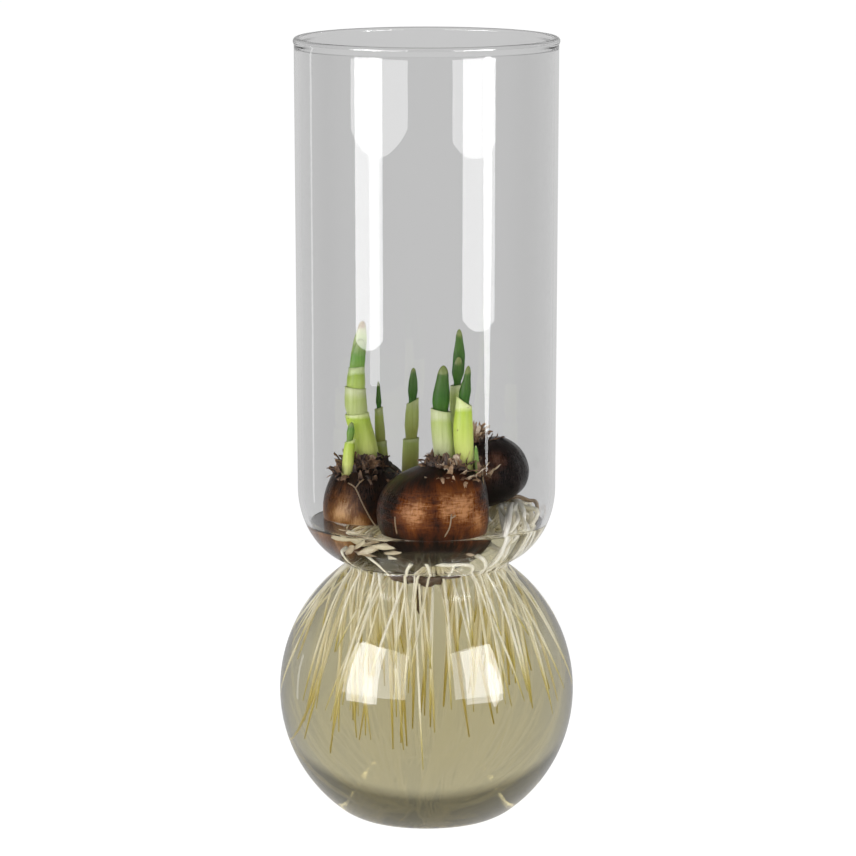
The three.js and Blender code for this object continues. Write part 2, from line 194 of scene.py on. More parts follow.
class Maker:
    """Builds one material's node tree."""

    def __init__(self, name: str) -> None:
        """Starts an empty material.

        Args:
            name: The material's name.
        """
        self.material = bpy.data.materials.new(name)
        self.material.use_nodes = True
        self.tree = self.material.node_tree
        self.tree.nodes.clear()
        self.output = self.node("ShaderNodeOutputMaterial")

    def node(self, kind: str, settings: dict | None = None, inputs: dict | None = None) -> bpy.types.Node:
        """Adds a node.

        Args:
            kind: The node's type name.
            settings: Attributes set before anything is linked; "stops" fills a colour ramp.
            inputs: Values, sockets or Values by socket name or index.

        Returns:
            The node.
        """
        made = self.tree.nodes.new(kind)
        for key, value in (settings or {}).items():
            if key == "stops":
                self.fill_ramp(made.color_ramp, value)
            else:
                setattr(made, key, value)
        for key, value in (inputs or {}).items():
            self.feed(made.inputs[key], value)
        return made

    def feed(self, socket: bpy.types.NodeSocket, value: object) -> None:
        """Links or sets one input socket.

        Args:
            socket: The input.
            value: A Value, a socket, a number, a vector or a colour.
        """
        if isinstance(value, Value):
            value = value.socket
        if isinstance(value, bpy.types.NodeSocket):
            self.tree.links.new(value, socket)
        elif isinstance(value, tuple) and len(value) == 3 and socket.type == "RGBA":
            socket.default_value = (*value, 1.0)
        else:
            socket.default_value = value

    @staticmethod
    def fill_ramp(ramp: bpy.types.ColorRamp, stops: Sequence[tuple[float, Colour]]) -> None:
        """Writes a ramp's stops.

        Args:
            ramp: The colour ramp.
            stops: Place and colour of each stop.
        """
        while len(ramp.elements) < len(stops):
            ramp.elements.new(1.0)
        for element, (place, colour) in zip(ramp.elements, stops):
            element.position = place
            element.color = (*colour, 1.0)

    def place(self) -> bpy.types.NodeSocket:
        """Returns the piece's own coordinates in metres."""
        return self.node("ShaderNodeTexCoord").outputs["Object"]

    def moved(self, vector: object, centre: Sequence[float],
              scale: Sequence[float] = (1, 1, 1)) -> bpy.types.NodeSocket:
        """Measures coordinates from a centre and then stretches them.

        Args:
            vector: The coordinates.
            centre: The new origin.
            scale: The stretch along each axis.

        Returns:
            The new coordinates.
        """
        shift = tuple(-c * s for c, s in zip(centre, scale))
        return self.node("ShaderNodeMapping", None, {
            "Vector": vector, "Location": shift, "Scale": tuple(scale),
        }).outputs[0]

    def vector(self, operation: str, *operands: object) -> bpy.types.NodeSocket:
        """Returns the vector result of one Vector Math node."""
        inputs = dict(enumerate(operands))
        return self.node("ShaderNodeVectorMath", {"operation": operation}, inputs).outputs[0]

    def distance(self, vector: object, point: Sequence[float]) -> Value:
        """Returns the distance of coordinates from a point."""
        made = self.node("ShaderNodeVectorMath", {"operation": "DISTANCE"}, {0: vector, 1: tuple(point)})
        return Value(self, made.outputs["Value"])

    def axis(self, vector: object, index: int) -> Value:
        """Returns one component of a vector."""
        return Value(self, self.node("ShaderNodeSeparateXYZ", None, {0: vector}).outputs[index])

    def noise(self, vector: object, scale: float, detail: float = 3.0, roughness: float = 0.55,
              distortion: float = 0.0) -> Value:
        """Adds fractal noise.

        Args:
            vector: The coordinates it reads.
            scale: How fine it is.
            detail: Its octaves.
            roughness: How strong the finer octaves are.
            distortion: How much it is warped.

        Returns:
            The noise, between 0 and 1.
        """
        made = self.node("ShaderNodeTexNoise", None, {
            "Vector": vector, "Scale": scale, "Detail": detail, "Roughness": roughness,
            "Distortion": distortion,
        })
        return Value(self, made.outputs["Fac"])

    def attribute(self, name: str) -> Value:
        """Returns a number kept on the mesh."""
        return Value(self, self.node("ShaderNodeAttribute", {"attribute_name": name}).outputs["Fac"])

    def ramp(self, value: object, stops: Sequence[tuple[float, Colour]]) -> bpy.types.NodeSocket:
        """Returns colours along a ramp."""
        return self.node("ShaderNodeValToRGB", {"stops": stops}, {"Fac": value}).outputs["Color"]

    def mix(self, factor: object, first: object, second: object, how: str = "MIX") -> bpy.types.NodeSocket:
        """Mixes two colours.

        Args:
            factor: The share of the second.
            first: The first colour.
            second: The second colour.
            how: The blend mode.

        Returns:
            The mixed colour.
        """
        made = self.node("ShaderNodeMix", {"data_type": "RGBA", "blend_type": how})
        self.feed(made.inputs[0], factor)
        self.feed(made.inputs[6], first)
        self.feed(made.inputs[7], second)
        return made.outputs[2]

    def bump(self, height: object, distance: float, strength: float = 1.0) -> bpy.types.NodeSocket:
        """Raises the surface by a height.

        Args:
            height: The height, between 0 and 1.
            distance: Metres that a height of 1 stands for.
            strength: How much of it shows.

        Returns:
            The new normal.
        """
        return self.node("ShaderNodeBump", None, {
            "Height": height, "Distance": distance, "Strength": strength,
        }).outputs[0]

    def principled(self, **inputs: object) -> bpy.types.Node:
        """Adds the surface shader; underscores in names stand for spaces."""
        named = {key.replace("_", " "): value for key, value in inputs.items()}
        return self.node("ShaderNodeBsdfPrincipled", None, named)

    def done(self, shader: bpy.types.Node) -> bpy.types.Material:
        """Puts a shader on the output and returns the material."""
        self.tree.links.new(shader.outputs[0], self.output.inputs["Surface"])
        return self.material


# ---------------------------------------------------------------- finishes


@dataclass(frozen=True)
class Clear:
    """A clear solid or liquid that lets lamps reach what it holds."""

    ior: float
    tint: Colour = (1.0, 1.0, 1.0)
    absorb: Colour | None = None
    density: float = 0.0
    waver: float = 0.0
    waver_scale: tuple[float, float, float] = (30.0, 30.0, 2.0)

    def material(self, name: str) -> bpy.types.Material:
        """Makes the material.

        Args:
            name: The material's name.

        Returns:
            The material.
        """
        make = Maker(name)
        inputs = {
            "Base_Color": self.tint, "Roughness": 0.0, "IOR": self.ior, "Transmission_Weight": 1.0,
        }
        if self.waver:
            drawn = make.noise(make.moved(make.place(), (0, 0, 0), self.waver_scale), 1.0, 2.0)
            inputs["Normal"] = make.bump(drawn, self.waver)
        clear = make.principled(**inputs)
        open_way = make.node("ShaderNodeBsdfTransparent", None, {"Color": self.tint})
        path = make.node("ShaderNodeLightPath")
        soft = Value(make, path.outputs["Is Shadow Ray"]).larger(path.outputs["Is Diffuse Ray"])
        mixed = make.node("ShaderNodeMixShader", None, {0: soft, 1: clear.outputs[0], 2: open_way.outputs[0]})
        if self.absorb is not None:
            murk = make.node("ShaderNodeVolumeAbsorption", None, {
                "Color": self.absorb, "Density": self.density,
            })
            make.tree.links.new(murk.outputs[0], make.output.inputs["Volume"])
        return make.done(mixed)


@dataclass(frozen=True)
class Patch:
    """A soft-edged patch of amber colour and painted highlight on a bulb's lit front: where its middle is from
    the bulb's middle, and how far it reaches.
    """

    at: tuple[float, float, float]
    reach: float


@dataclass(frozen=True)
class BulbSkin:
    """Glossy dry bulb skin with lengthwise grain, sideways wrinkles and amber patches that carry a painted
    highlight.
    """

    dark: Colour
    brown: Colour
    amber: Colour
    painted_highlight: Colour
    patches: tuple[Patch, ...]
    wrinkle_band: tuple[float, float, float, float]
    wrinkle: float = 0.5
    coat: float = 0.6
    roughness: float = 0.29
    streak: float = 1.0

    def material(self, name: str, centre: Vector) -> bpy.types.Material:
        """Makes the material.

        Args:
            name: The material's name.
            centre: The bulb's middle, in metres.

        Returns:
            The material.
        """
        make = Maker(name)
        local = make.moved(make.place(), centre)
        around = make.vector("NORMALIZE", make.vector("MULTIPLY", local, (1, 1, 0)))
        height = make.axis(local, 2)
        upward = make.vector("MULTIPLY", local, (0, 0, 1))
        grain_place = make.vector("ADD", around, make.vector("MULTIPLY", upward, (0, 0, 14.0)))
        grain = make.noise(grain_place, 26.0, 5.0, 0.62, 0.3)
        broad = make.noise(grain_place, 5.0, 3.0, 0.5, 0.6)
        ring_place = make.vector("ADD", make.vector("MULTIPLY", around, (1.6, 1.6, 0)),
                                 make.vector("MULTIPLY", upward, (0, 0, 420.0)))
        rings = make.noise(ring_place, 1.7, 4.0, 0.6, 1.2)
        low, rise, fall, high = self.wrinkle_band
        band = height.eased(low * MM, rise * MM) * height.eased(high * MM, fall * MM)
        blotch = make.noise(local, 48.0, 4.0, 0.6, 1.4)
        glow: Value | None = None
        for patch in self.patches:
            spot = make.distance(local, [a * MM for a in patch.at]).eased(patch.reach * MM, 0.0)
            glow = spot if glow is None else glow.larger(spot)
        # Inside the patches the tone rises to the painted highlight colour: painted light on the bulb's lit
        # front, over its amber.
        tone = glow * (0.2 + blotch * 1.2) + (broad - 0.5) * 0.6 + (grain - 0.5) * (0.5 * self.streak)
        tone = tone + (rings - 0.5) * band * (0.9 * self.wrinkle)
        colour = make.ramp(tone, [
            (0.0, self.dark), (0.22, self.brown), (0.52, self.amber), (0.9, self.painted_highlight),
        ])
        raised = grain * 0.35 + rings * band * (1.3 * self.wrinkle) + blotch * 0.5
        gloss = self.roughness + (grain - 0.5) * 0.25 + (1 - band) * 0.05
        shader = make.principled(
            Base_Color=colour, Roughness=gloss, Normal=make.bump(raised, 0.0009, 0.7),
            Coat_Weight=self.coat, Coat_Roughness=0.1, Specular_IOR_Level=0.16,
        )
        return make.done(shader)


@dataclass(frozen=True)
class Papery:
    """Dry torn skin, each flake with a tone of its own."""

    stops: tuple[tuple[float, Colour], ...]
    roughness: float = 0.75
    grain: float = 900.0

    def material(self, name: str) -> bpy.types.Material:
        """Makes the material.

        Args:
            name: The material's name.

        Returns:
            The material.
        """
        make = Maker(name)
        place = make.place()
        fibres = make.noise(place, self.grain, 3.0, 0.6, 1.0)
        blotch = make.noise(place, self.grain * 0.28, 3.0)
        tone = make.attribute("tone") + (fibres - 0.5) * 0.5 + (blotch - 0.5) * 0.5
        shader = make.principled(
            Base_Color=make.ramp(tone, self.stops), Roughness=self.roughness,
            Normal=make.bump(fibres, 0.0004, 0.8),
        )
        return make.done(shader)


@dataclass(frozen=True)
class Blade:
    """Fresh leaf or sheath with fine lengthwise veins, shading from its foot to its rim."""

    stops: tuple[tuple[float, Colour], ...]
    vein: Colour
    veins: float = 0.35
    roughness: float = 0.42
    coat: float = 0.15
    flecks: float = 0.0

    def material(self, name: str, centre: Vector, low: float, high: float) -> bpy.types.Material:
        """Makes the material.

        Args:
            name: The material's name.
            centre: The piece's axis, in metres.
            low: Height in metres where the first colour lies.
            high: Height in metres where the last colour lies.

        Returns:
            The material.
        """
        make = Maker(name)
        place = make.place()
        local = make.moved(place, centre)
        height = make.axis(place, 2)
        drift = make.noise(local, 160.0, 2.0)
        share = Value(make, make.node("ShaderNodeMapRange", None, {
            "Value": height, "From Min": low, "From Max": high,
        }).outputs[0]) + (drift - 0.5) * 0.12
        lines = make.noise(make.moved(local, (0, 0, 0), (2300, 2300, 40)), 1.0, 2.0, 0.5)
        strands = make.noise(make.moved(local, (0, 0, 0), (620, 620, 22)), 1.0, 3.0, 0.5)
        colour = make.ramp(share, self.stops)
        colour = make.mix(lines.eased(0.45, 0.75) * self.veins, colour, self.vein, "MULTIPLY")
        colour = make.mix(strands.eased(0.4, 0.8) * (self.veins * 0.8), colour, self.vein, "MULTIPLY")
        if self.flecks:
            spots = make.noise(local, 420.0, 2.0).eased(0.69, 0.74) * self.flecks
            colour = make.mix(spots, colour, (0.16, 0.08, 0.03))
        shader = make.principled(
            Base_Color=colour, Roughness=self.roughness + (strands - 0.5) * 0.15,
            Normal=make.bump(lines + strands, 0.00025, 0.6),
            Coat_Weight=self.coat, Coat_Roughness=0.2, Specular_IOR_Level=0.18,
        )
        return make.done(shader)


@dataclass(frozen=True)
class RootFlesh:
    """Pale root with a yellow tip; tone runs from 0 at the root to 1 at its tip, shade varies by root."""

    stops: tuple[tuple[float, Colour], ...]
    aged: Colour

    def material(self, name: str) -> bpy.types.Material:
        """Makes the material.

        Args:
            name: The material's name.

        Returns:
            The material.
        """
        make = Maker(name)
        place = make.place()
        stain = make.noise(place, 260.0, 3.0)
        colour = make.ramp(make.attribute("tone"), self.stops)
        colour = make.mix(make.attribute("shade") * 0.8 + (stain - 0.5) * 0.5, colour, self.aged)
        shader = make.principled(
            Base_Color=colour, Roughness=0.4 + (stain - 0.5) * 0.2, Normal=make.bump(stain, 0.0003, 0.5),
        )
        return make.done(shader)


# ---------------------------------------------------------------- mesh tools


class Piece:
    """One visible piece: a mesh shaped in millimetres and kept in metres."""

    def __init__(self, name: str) -> None:
        """Starts an empty mesh with its two painted numbers.

        Args:
            name: The piece's name.
        """
        self.name = name
        self.bm = bmesh.new()
        self.tone = self.bm.verts.layers.float.new("tone")
        self.shade = self.bm.verts.layers.float.new("shade")

    def spin(self, profile: Sequence[tuple[float, float]], steps: int) -> list:
        """Turns a profile about an upright axis through the origin.

        Args:
            profile: Radius and height of each point.
            steps: Faces round the turn.

        Returns:
            The new vertices.
        """
        before = set(self.bm.verts)
        rail = [self.bm.verts.new((r, 0.0, z)) for r, z in profile]
        edges = [self.bm.edges.new(pair) for pair in zip(rail, rail[1:])]
        bmesh.ops.spin(self.bm, geom=rail + edges, cent=(0, 0, 0), axis=(0, 0, 1), dvec=(0, 0, 0),
                       angle=2 * math.pi, steps=steps, use_merge=True, use_duplicate=False)
        made = [v for v in self.bm.verts if v not in before]
        bmesh.ops.remove_doubles(self.bm, verts=made, dist=0.001)
        made = [v for v in self.bm.verts if v not in before]
        faces = [f for f in self.bm.faces if f.verts[0] not in before]
        bmesh.ops.recalc_face_normals(self.bm, faces=faces)
        return made

    def loft(self, stations: Sequence[Matrix], sides: int, tones: Sequence[float] | None = None,
             shade: float = 0.0, point: bool = False) -> list:
        """Carries a ring through stations.

        Args:
            stations: Where each ring of unit radius goes.
            sides: Vertices in a ring.
            tones: The tone painted on each ring.
            shade: The shade painted on the whole.
            point: Whether the last ring closes to a point.

        Returns:
            The new vertices.
        """
        ring = bmesh.ops.create_circle(self.bm, cap_ends=True, radius=1.0, segments=sides)["verts"]
        faces = list({f for v in ring for f in v.link_faces})
        bmesh.ops.transform(self.bm, matrix=stations[0], verts=ring)
        edges = list({e for v in ring for e in v.link_edges if all(w in ring for w in e.verts)})
        made = list(ring)
        self._paint(ring, tones[0] if tones else 0.0, shade)
        for i, (last, here) in enumerate(zip(stations, stations[1:]), 1):
            grown = bmesh.ops.extrude_edge_only(self.bm, edges=edges)["geom"]
            ring = [g for g in grown if isinstance(g, bmesh.types.BMVert)]
            edges = [g for g in grown if isinstance(g, bmesh.types.BMEdge)]
            faces += [g for g in grown if isinstance(g, bmesh.types.BMFace)]
            bmesh.ops.transform(self.bm, matrix=here @ last.inverted(), verts=ring)
            self._paint(ring, tones[i] if tones else 0.0, shade)
            made += ring
        if point:
            middle = sum((v.co for v in ring), Vector()) / len(ring)
            cap = bmesh.ops.contextual_create(self.bm, geom=edges)["faces"]
            centre = bmesh.ops.poke(self.bm, faces=cap)
            faces += centre["faces"]
            for v in centre["verts"]:
                v.co = middle
                self._paint([v], tones[-1] if tones else 0.0, shade)
            made += centre["verts"]
        else:
            faces += bmesh.ops.contextual_create(self.bm, geom=edges)["faces"]
        bmesh.ops.recalc_face_normals(self.bm, faces=faces)
        return made

    def _paint(self, verts: Iterable, tone: float, shade: float) -> None:
        """Writes the painted numbers of vertices.

        Args:
            verts: The vertices.
            tone: Their tone.
            shade: Their shade.
        """
        for v in verts:
            v[self.tone] = tone
            v[self.shade] = shade

    def strand(self, points: Sequence[Vector], radii: Sequence[float], sides: int = 6,
               tones: Sequence[float] | None = None, shade: float = 0.0) -> None:
        """Sweeps a round strand along points, closed to a rounded tip.

        Args:
            points: The way it takes.
            radii: Its radius at each point.
            sides: Vertices round it.
            tones: The tone painted at each point.
            shade: The shade painted on the whole.
        """
        stations = []
        across = Vector((1, 0, 0))
        for i, (point, radius) in enumerate(zip(points, radii)):
            ahead = points[min(i + 1, len(points) - 1)] - points[max(i - 1, 0)]
            ahead.normalize()
            across = (across - ahead * across.dot(ahead)).normalized()
            side = ahead.cross(across)
            turn = Matrix((across, side, ahead)).transposed().to_4x4()
            stations.append(Matrix.Translation(point) @ turn @ Matrix.Diagonal((radius, radius, 1, 1)))
        self.loft(stations, sides, tones, shade, point=True)

    def flake(self, size: tuple[float, float], curl: float, where: Matrix, draw: random.Random,
              tone: float, wall: float = 0.22, taper: float = 0.5, petal: bool = False) -> None:
        """Adds a torn curled flake.

        Args:
            size: Width and length.
            curl: How far the flake rolls along its length, in radians.
            where: Puts the flake, which rises along its own +Z from its foot, in place.
            draw: The seeded source of its unevenness.
            tone: The tone painted on it.
            wall: Its thickness.
            taper: The share of its width lost at its free end.
            petal: Whether it is a leaf-shaped scale, narrow at both ends.
        """
        width, length = size
        grown = bmesh.ops.create_grid(self.bm, x_segments=4, y_segments=7, size=0.5)["verts"]
        faces = list({f for v in grown for f in v.link_faces})
        phase = draw.uniform(0, 9)
        for v in grown:
            across, along = v.co.x, v.co.y + 0.5
            tear = noise.noise(Vector((across * 5 + phase, phase, 0)))
            ragged = 1.0 + 0.28 * tear * smooth(0.5, 1.0, along)
            outline = 0.12 + math.sin(math.pi * min(1.0, 0.1 + 0.85 * along)) if petal else 1 - taper * along
            half = width * outline * (1 + 0.25 * noise.noise(Vector((phase, along * 3, across))))
            roll = curl * along
            reach = length * ragged
            away = (1 - math.cos(roll)) / max(0.05, abs(curl)) * reach * (1 if curl >= 0 else -1)
            rise = math.sin(abs(roll)) / max(0.05, abs(curl)) * reach if abs(curl) > 0.05 else reach * along
            cup = (across ** 2) * width * 0.7
            crumple = 0.5 * noise.noise(Vector((across * 4, along * 4, phase)))
            v.co = Vector((across * half, away + cup + crumple, rise))
            v[self.tone] = tone + 0.18 * (along - 0.5)
            v[self.shade] = 0.0
        bmesh.ops.solidify(self.bm, geom=faces, thickness=wall)
        made = self._connected(grown)
        bmesh.ops.transform(self.bm, matrix=where, verts=made)
        for v in made:
            if v[self.tone] == 0.0:
                v[self.tone] = tone

    def _connected(self, start: Sequence) -> list:
        """Finds what is joined to some vertices.

        Args:
            start: Vertices to start from.

        Returns:
            These and all joined to them.
        """
        seen = {v for v in start if v.is_valid}
        todo = list(seen)
        while todo:
            for edge in todo.pop().link_edges:
                for v in edge.verts:
                    if v not in seen:
                        seen.add(v)
                        todo.append(v)
        return list(seen)

    def move(self, verts: Iterable, step: Callable[[Vector], Vector]) -> None:
        """Moves vertices by a function of their place."""
        for v in verts:
            v.co = step(v.co)

    def seat(self, node: str) -> None:
        """Moves the mesh so that the middle of its box is its CAD node's.

        Args:
            node: The node's name.
        """
        middle = middle_of(node) / MM
        places = [v.co for v in self.bm.verts]
        own = [(min(co[i] for co in places) + max(co[i] for co in places)) / 2 for i in range(3)]
        bmesh.ops.translate(self.bm, vec=middle - Vector(own), verts=self.bm.verts)

    def fit(self, *nodes: str) -> None:
        """Moves and stretches the mesh to the box of CAD nodes.

        Args:
            *nodes: The nodes' names.
        """
        boxes = [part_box(node) for node in nodes]
        low = [min(b[0][i] for b in boxes) / MM for i in range(3)]
        high = [max(b[1][i] for b in boxes) / MM for i in range(3)]
        own_low = [min(v.co[i] for v in self.bm.verts) for i in range(3)]
        own_high = [max(v.co[i] for v in self.bm.verts) for i in range(3)]
        for v in self.bm.verts:
            v.co = Vector([
                low[i] + (v.co[i] - own_low[i]) * (high[i] - low[i]) / (own_high[i] - own_low[i])
                for i in range(3)
            ])

    def keep(self, material: bpy.types.Material, slot: Slot, nodes: Sequence[str] = ()) -> None:
        """Turns the mesh into a piece that rides on the body.

        Args:
            material: Its finish.
            slot: Not used.
            nodes: CAD nodes it stands for.
        """
        bmesh.ops.scale(self.bm, vec=(MM, MM, MM), verts=self.bm.verts)
        mesh = bpy.data.meshes.new(self.name)
        self.bm.to_mesh(mesh)
        self.bm.free()
        mesh.shade_smooth()
        mesh.materials.append(material)
        piece = bpy.data.objects.new(self.name, mesh)
        bpy.context.scene.collection.objects.link(piece)
        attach(piece, BODY)
        if nodes:
            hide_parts(*nodes)
        LOG.info("%s: %d faces", self.name, len(mesh.polygons))


def middle_of(node: str) -> Vector:
    """Returns the middle of a CAD node's box in metres."""
    low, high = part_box(node)
    return (Vector(low) + Vector(high)) / 2


# ---------------------------------------------------------------- vase and water


@dataclass
class Vase:
    """Blown glass vase and its water: a ball foot, a narrow waist and a tall straight tube."""

    wall: float = 2.2
    floor: float = 4.0
    ball: tuple[float, float, float, float] = (70.0, 72.0, 70.5, 62.3)  # radius, above, below, middle
    cup: tuple[float, float, float] = (31.45, 37.1, 159.9)  # corner, depth, top
    tube: tuple[float, float] = (61.15, 62.3)  # radius at its foot and at its rim
    waist: tuple[float, float, float, float, float] = (36.6, 32.1, 39.5, 38.5, 123.6)
    foot: tuple[float, float] = (27.5, 4.5)  # flat, blend
    bead: tuple[float, float] = (1.7, 0.5)  # radius, proud
    climb: float = 0.05  # how far the water climbs the glass
    overlap: float = 0.3  # how far the water reaches into the glass
    sides: int = 144
    arc_steps: int = 26
    glass: Clear = Clear(ior=1.5, waver=0.00012)
    still: Clear = Clear(ior=1.33, absorb=(0.74, 0.64, 0.16), density=8.0)

    def __post_init__(self) -> None:
        """Takes the height of the rim and of the water from the frame."""
        self.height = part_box("glass_vase")[1][2] / MM
        self.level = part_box("water")[1][2] / MM

    @staticmethod
    def arc(middle: tuple[float, float], half: tuple[float, float], start: float, end: float,
            count: int) -> list[tuple[float, float]]:
        """Lays an elliptical arc.

        Args:
            middle: Radius and height of its middle.
            half: Its two half widths.
            start: Its first angle, in radians.
            end: Its last angle.
            count: Steps along it.

        Returns:
            Its points, ends included.
        """
        turns = [lerp(start, end, i / count) for i in range(count + 1)]
        return [(middle[0] + half[0] * math.cos(t), middle[1] + half[1] * math.sin(t)) for t in turns]

    @staticmethod
    def bend(start: tuple[float, float], corner: tuple[float, float], end: tuple[float, float],
             count: int) -> list[tuple[float, float]]:
        """Lays a curve from start towards a corner and round to end.

        Args:
            start: Its first point.
            corner: The point it turns towards.
            end: Its last point.
            count: Steps along it.

        Returns:
            Its points, ends included.
        """
        points = []
        for i in range(count + 1):
            t = i / count
            points.append(tuple(
                (1 - t) ** 2 * a + 2 * t * (1 - t) * b + t * t * c for a, b, c in zip(start, corner, end)
            ))
        return points

    def shell(self, inset: float, top: float) -> list[tuple[float, float]]:
        """Returns the wall's profile from the foot up, standing in from the outside.

        Args:
            inset: 0 for the outside of the glass, or how far inside it the profile runs.
            top: The height at which the profile ends.

        Returns:
            Radius and height of each point.
        """
        radius, above, below, middle = self.ball
        corner, depth, cup_top = self.cup
        outer, inner, blend_out, blend_in, waist_height = self.waist
        inside = inset > 0
        deep = inset - self.wall
        neck = inner + deep * -1 if inside else outer
        blend = blend_in - deep if inside else blend_out
        bottom = self.floor + deep if inside else 0.0
        edge = 2.0 if inside else self.foot[1]
        start = -math.asin((middle - bottom - edge) / (below - inset))
        rim = (radius - inset) * math.sqrt(1 - ((middle - bottom) / (below - inset)) ** 2)
        flat = rim - 5 if inside else self.foot[0]
        low = self.arc((0, middle), (radius - inset, below - inset), start, 0, self.arc_steps)
        crest = math.acos(blend / (radius - inset))
        high = self.arc((0, middle), (radius - inset, above - inset), 0, crest, self.arc_steps)
        axis = self.tube[0] - corner
        turn = -math.acos((blend - axis) / (corner - inset))
        stop = min(0.0, math.asin(max(-1.0, min(0.0, (top - cup_top) / (depth - inset)))))
        cup = self.arc((axis, cup_top), (corner - inset, depth - inset), turn, stop, self.arc_steps)
        return [
            (0.0, bottom), *self.bend((flat, bottom), (rim, bottom), low[0], 6), *low[1:], *high[1:],
            *self.bend(high[-1], (neck, waist_height), cup[0], 12)[1:], *cup[1:],
        ]

    def build(self) -> None:
        """Makes the glass and the water."""
        self.build_glass()
        self.build_water()

    def build_glass(self) -> None:
        """Turns the glass wall and its rounded rim."""
        radius, proud = self.bead
        rim = (self.tube[1] + proud - radius, self.height - radius)
        low, high = self.cup[2], self.height - 2 * radius
        shares = [0.006, 0.02, 0.05, *(i / 8 for i in range(1, 8)), 0.96, 0.988, 1.0]
        straight = [(lerp(*self.tube, share), lerp(low, high, share)) for share in shares]
        lip = self.arc(rim, (radius, radius), -0.3, math.pi, 12)
        inside = self.shell(self.wall, self.height)
        up = [(r - self.wall, z) for r, z in straight]
        profile = [*self.shell(0.0, self.height), *straight, *lip, *up[::-1], *inside[::-1]]
        piece = Piece("vase_glass")
        piece.spin(profile, self.sides)
        piece.fit("glass_vase")
        piece.keep(self.glass.material("vase_glass"), Slot.GLASS, ["glass_vase"])

    def build_water(self) -> None:
        """Turns the water, which climbs a little where it meets the glass."""
        side = self.shell(self.wall - self.overlap, self.level + self.climb)
        edge = side[-1][0]
        inwards = [edge - self.wall * 0.5 * i for i in range(1, 9)]
        surface = [(r, self.level + self.climb * math.exp(-(edge - r) / 1.4)) for r in inwards]
        profile = [*side, *surface, (edge * 0.5, self.level), (0.0, self.level)]
        piece = Piece("vase_water")
        piece.spin(profile, self.sides)
        piece.keep(self.still.material("vase_water"), Slot.WATER, ["water"])

    def inside_radius(self, height: float, gap: float = 1.0) -> float:
        """Tells how far from the axis a thing may reach.

        Args:
            height: At which height.
            gap: The room it leaves to the glass.

        Returns:
            The radius.
        """
        profile = self.shell(self.wall + gap, self.height)
        reach = min(profile, key=lambda p: abs(p[1] - height))[0]
        return reach if height < self.cup[2] else self.tube[0] - self.wall - gap


# ---------------------------------------------------------------- bulbs


@dataclass(frozen=True)
class Nose:
    """One onion-shaped bulb: where its widest ring lies and its sizes."""

    at: tuple[float, float, float]
    radius: float
    above: float
    below: float
    neck: float
    rise: float
    lean: tuple[float, float] = (0.0, 0.0)
    tilt: float = 0.0
    plate: float = 6.0
    slope: float = 1.4
    tuck: float = 1.0

    def where(self) -> Matrix:
        """Returns the matrix that puts the upright nose in place."""
        return Matrix.Translation(self.at) @ Matrix.Rotation(math.radians(self.tilt), 4, "Y")

    def profile(self) -> list[tuple[float, float]]:
        """Draws the outline from the base plate to the top of the neck.

        Returns:
            Radius and height of each point.
        """
        belly = []
        for i in range(15):
            t = math.radians(90 * i / 14)
            out = self.plate + (self.radius - self.plate) * math.sin(t) ** self.tuck
            belly.append((out, -self.below * math.cos(t) ** 0.9))
        shoulder = []
        for i in range(1, 19):
            t = math.radians(90 * i / 18)
            shoulder.append((self.neck + (self.radius - self.neck) * math.cos(t) ** self.slope,
                             self.above * math.sin(t)))
        top = self.above + self.rise
        return [(0.0, -self.below), (self.plate * 0.6, -self.below), *belly, *shoulder,
                (self.neck * 0.92, top - self.rise * 0.4), (self.neck * 0.75, top), (0.0, top)]

    def grow(self, piece: Piece, seed: float, uneven: float, steps: int = 96) -> None:
        """Adds the nose to a piece, slightly uneven as a grown thing is.

        Args:
            piece: The piece it joins.
            seed: Shifts the unevenness.
            uneven: How far the skin swells.
            steps: Faces round it.
        """
        made = piece.spin(self.profile(), steps)
        top = self.above + self.rise

        def step(co: Vector) -> Vector:
            """Leans the neck and swells the skin.

            Args:
                co: A point of the upright nose.

            Returns:
                Where the point goes.
            """
            share = max(0.0, co.z / top) ** 2
            out = Vector((co.x, co.y, 0.0))
            around = math.atan2(co.y, co.x)
            swell = uneven * noise.noise(Vector((co.x, co.y, co.z)) * 0.06 + Vector((seed, 0, 0)))
            rib_place = Vector((math.cos(around) * 5, math.sin(around) * 5, co.z * 0.03 + seed))
            ribs = 0.22 * noise.noise(rib_place)
            out = out.normalized() * (swell + ribs) if out.length > 1 else Vector()
            return co + out + Vector((self.lean[0] * share, self.lean[1] * share, 0.0))

        piece.move(made, step)
        bmesh.ops.transform(piece.bm, matrix=self.where(), verts=made)

    def crown(self, around: float, out: float, up: float) -> Vector:
        """Finds a point by the neck.

        Args:
            around: Its bearing in radians.
            out: Its distance from the neck's axis.
            up: Its height over the neck.

        Returns:
            The point.
        """
        local = Vector((self.lean[0] + out * math.cos(around), self.lean[1] + out * math.sin(around),
                        self.above + self.rise + up))
        return self.where() @ local


@dataclass(frozen=True)
class Tuft:
    """Torn flakes of one kind round a neck: their number and the ranges they are drawn from."""

    count: int
    bearings: tuple[float, float]
    out: tuple[float, float]
    up: tuple[float, float]
    length: tuple[float, float]
    tone: float
    width: tuple[float, float] = (0.35, 0.75)
    splay: tuple[float, float] = (-0.25, 0.7)


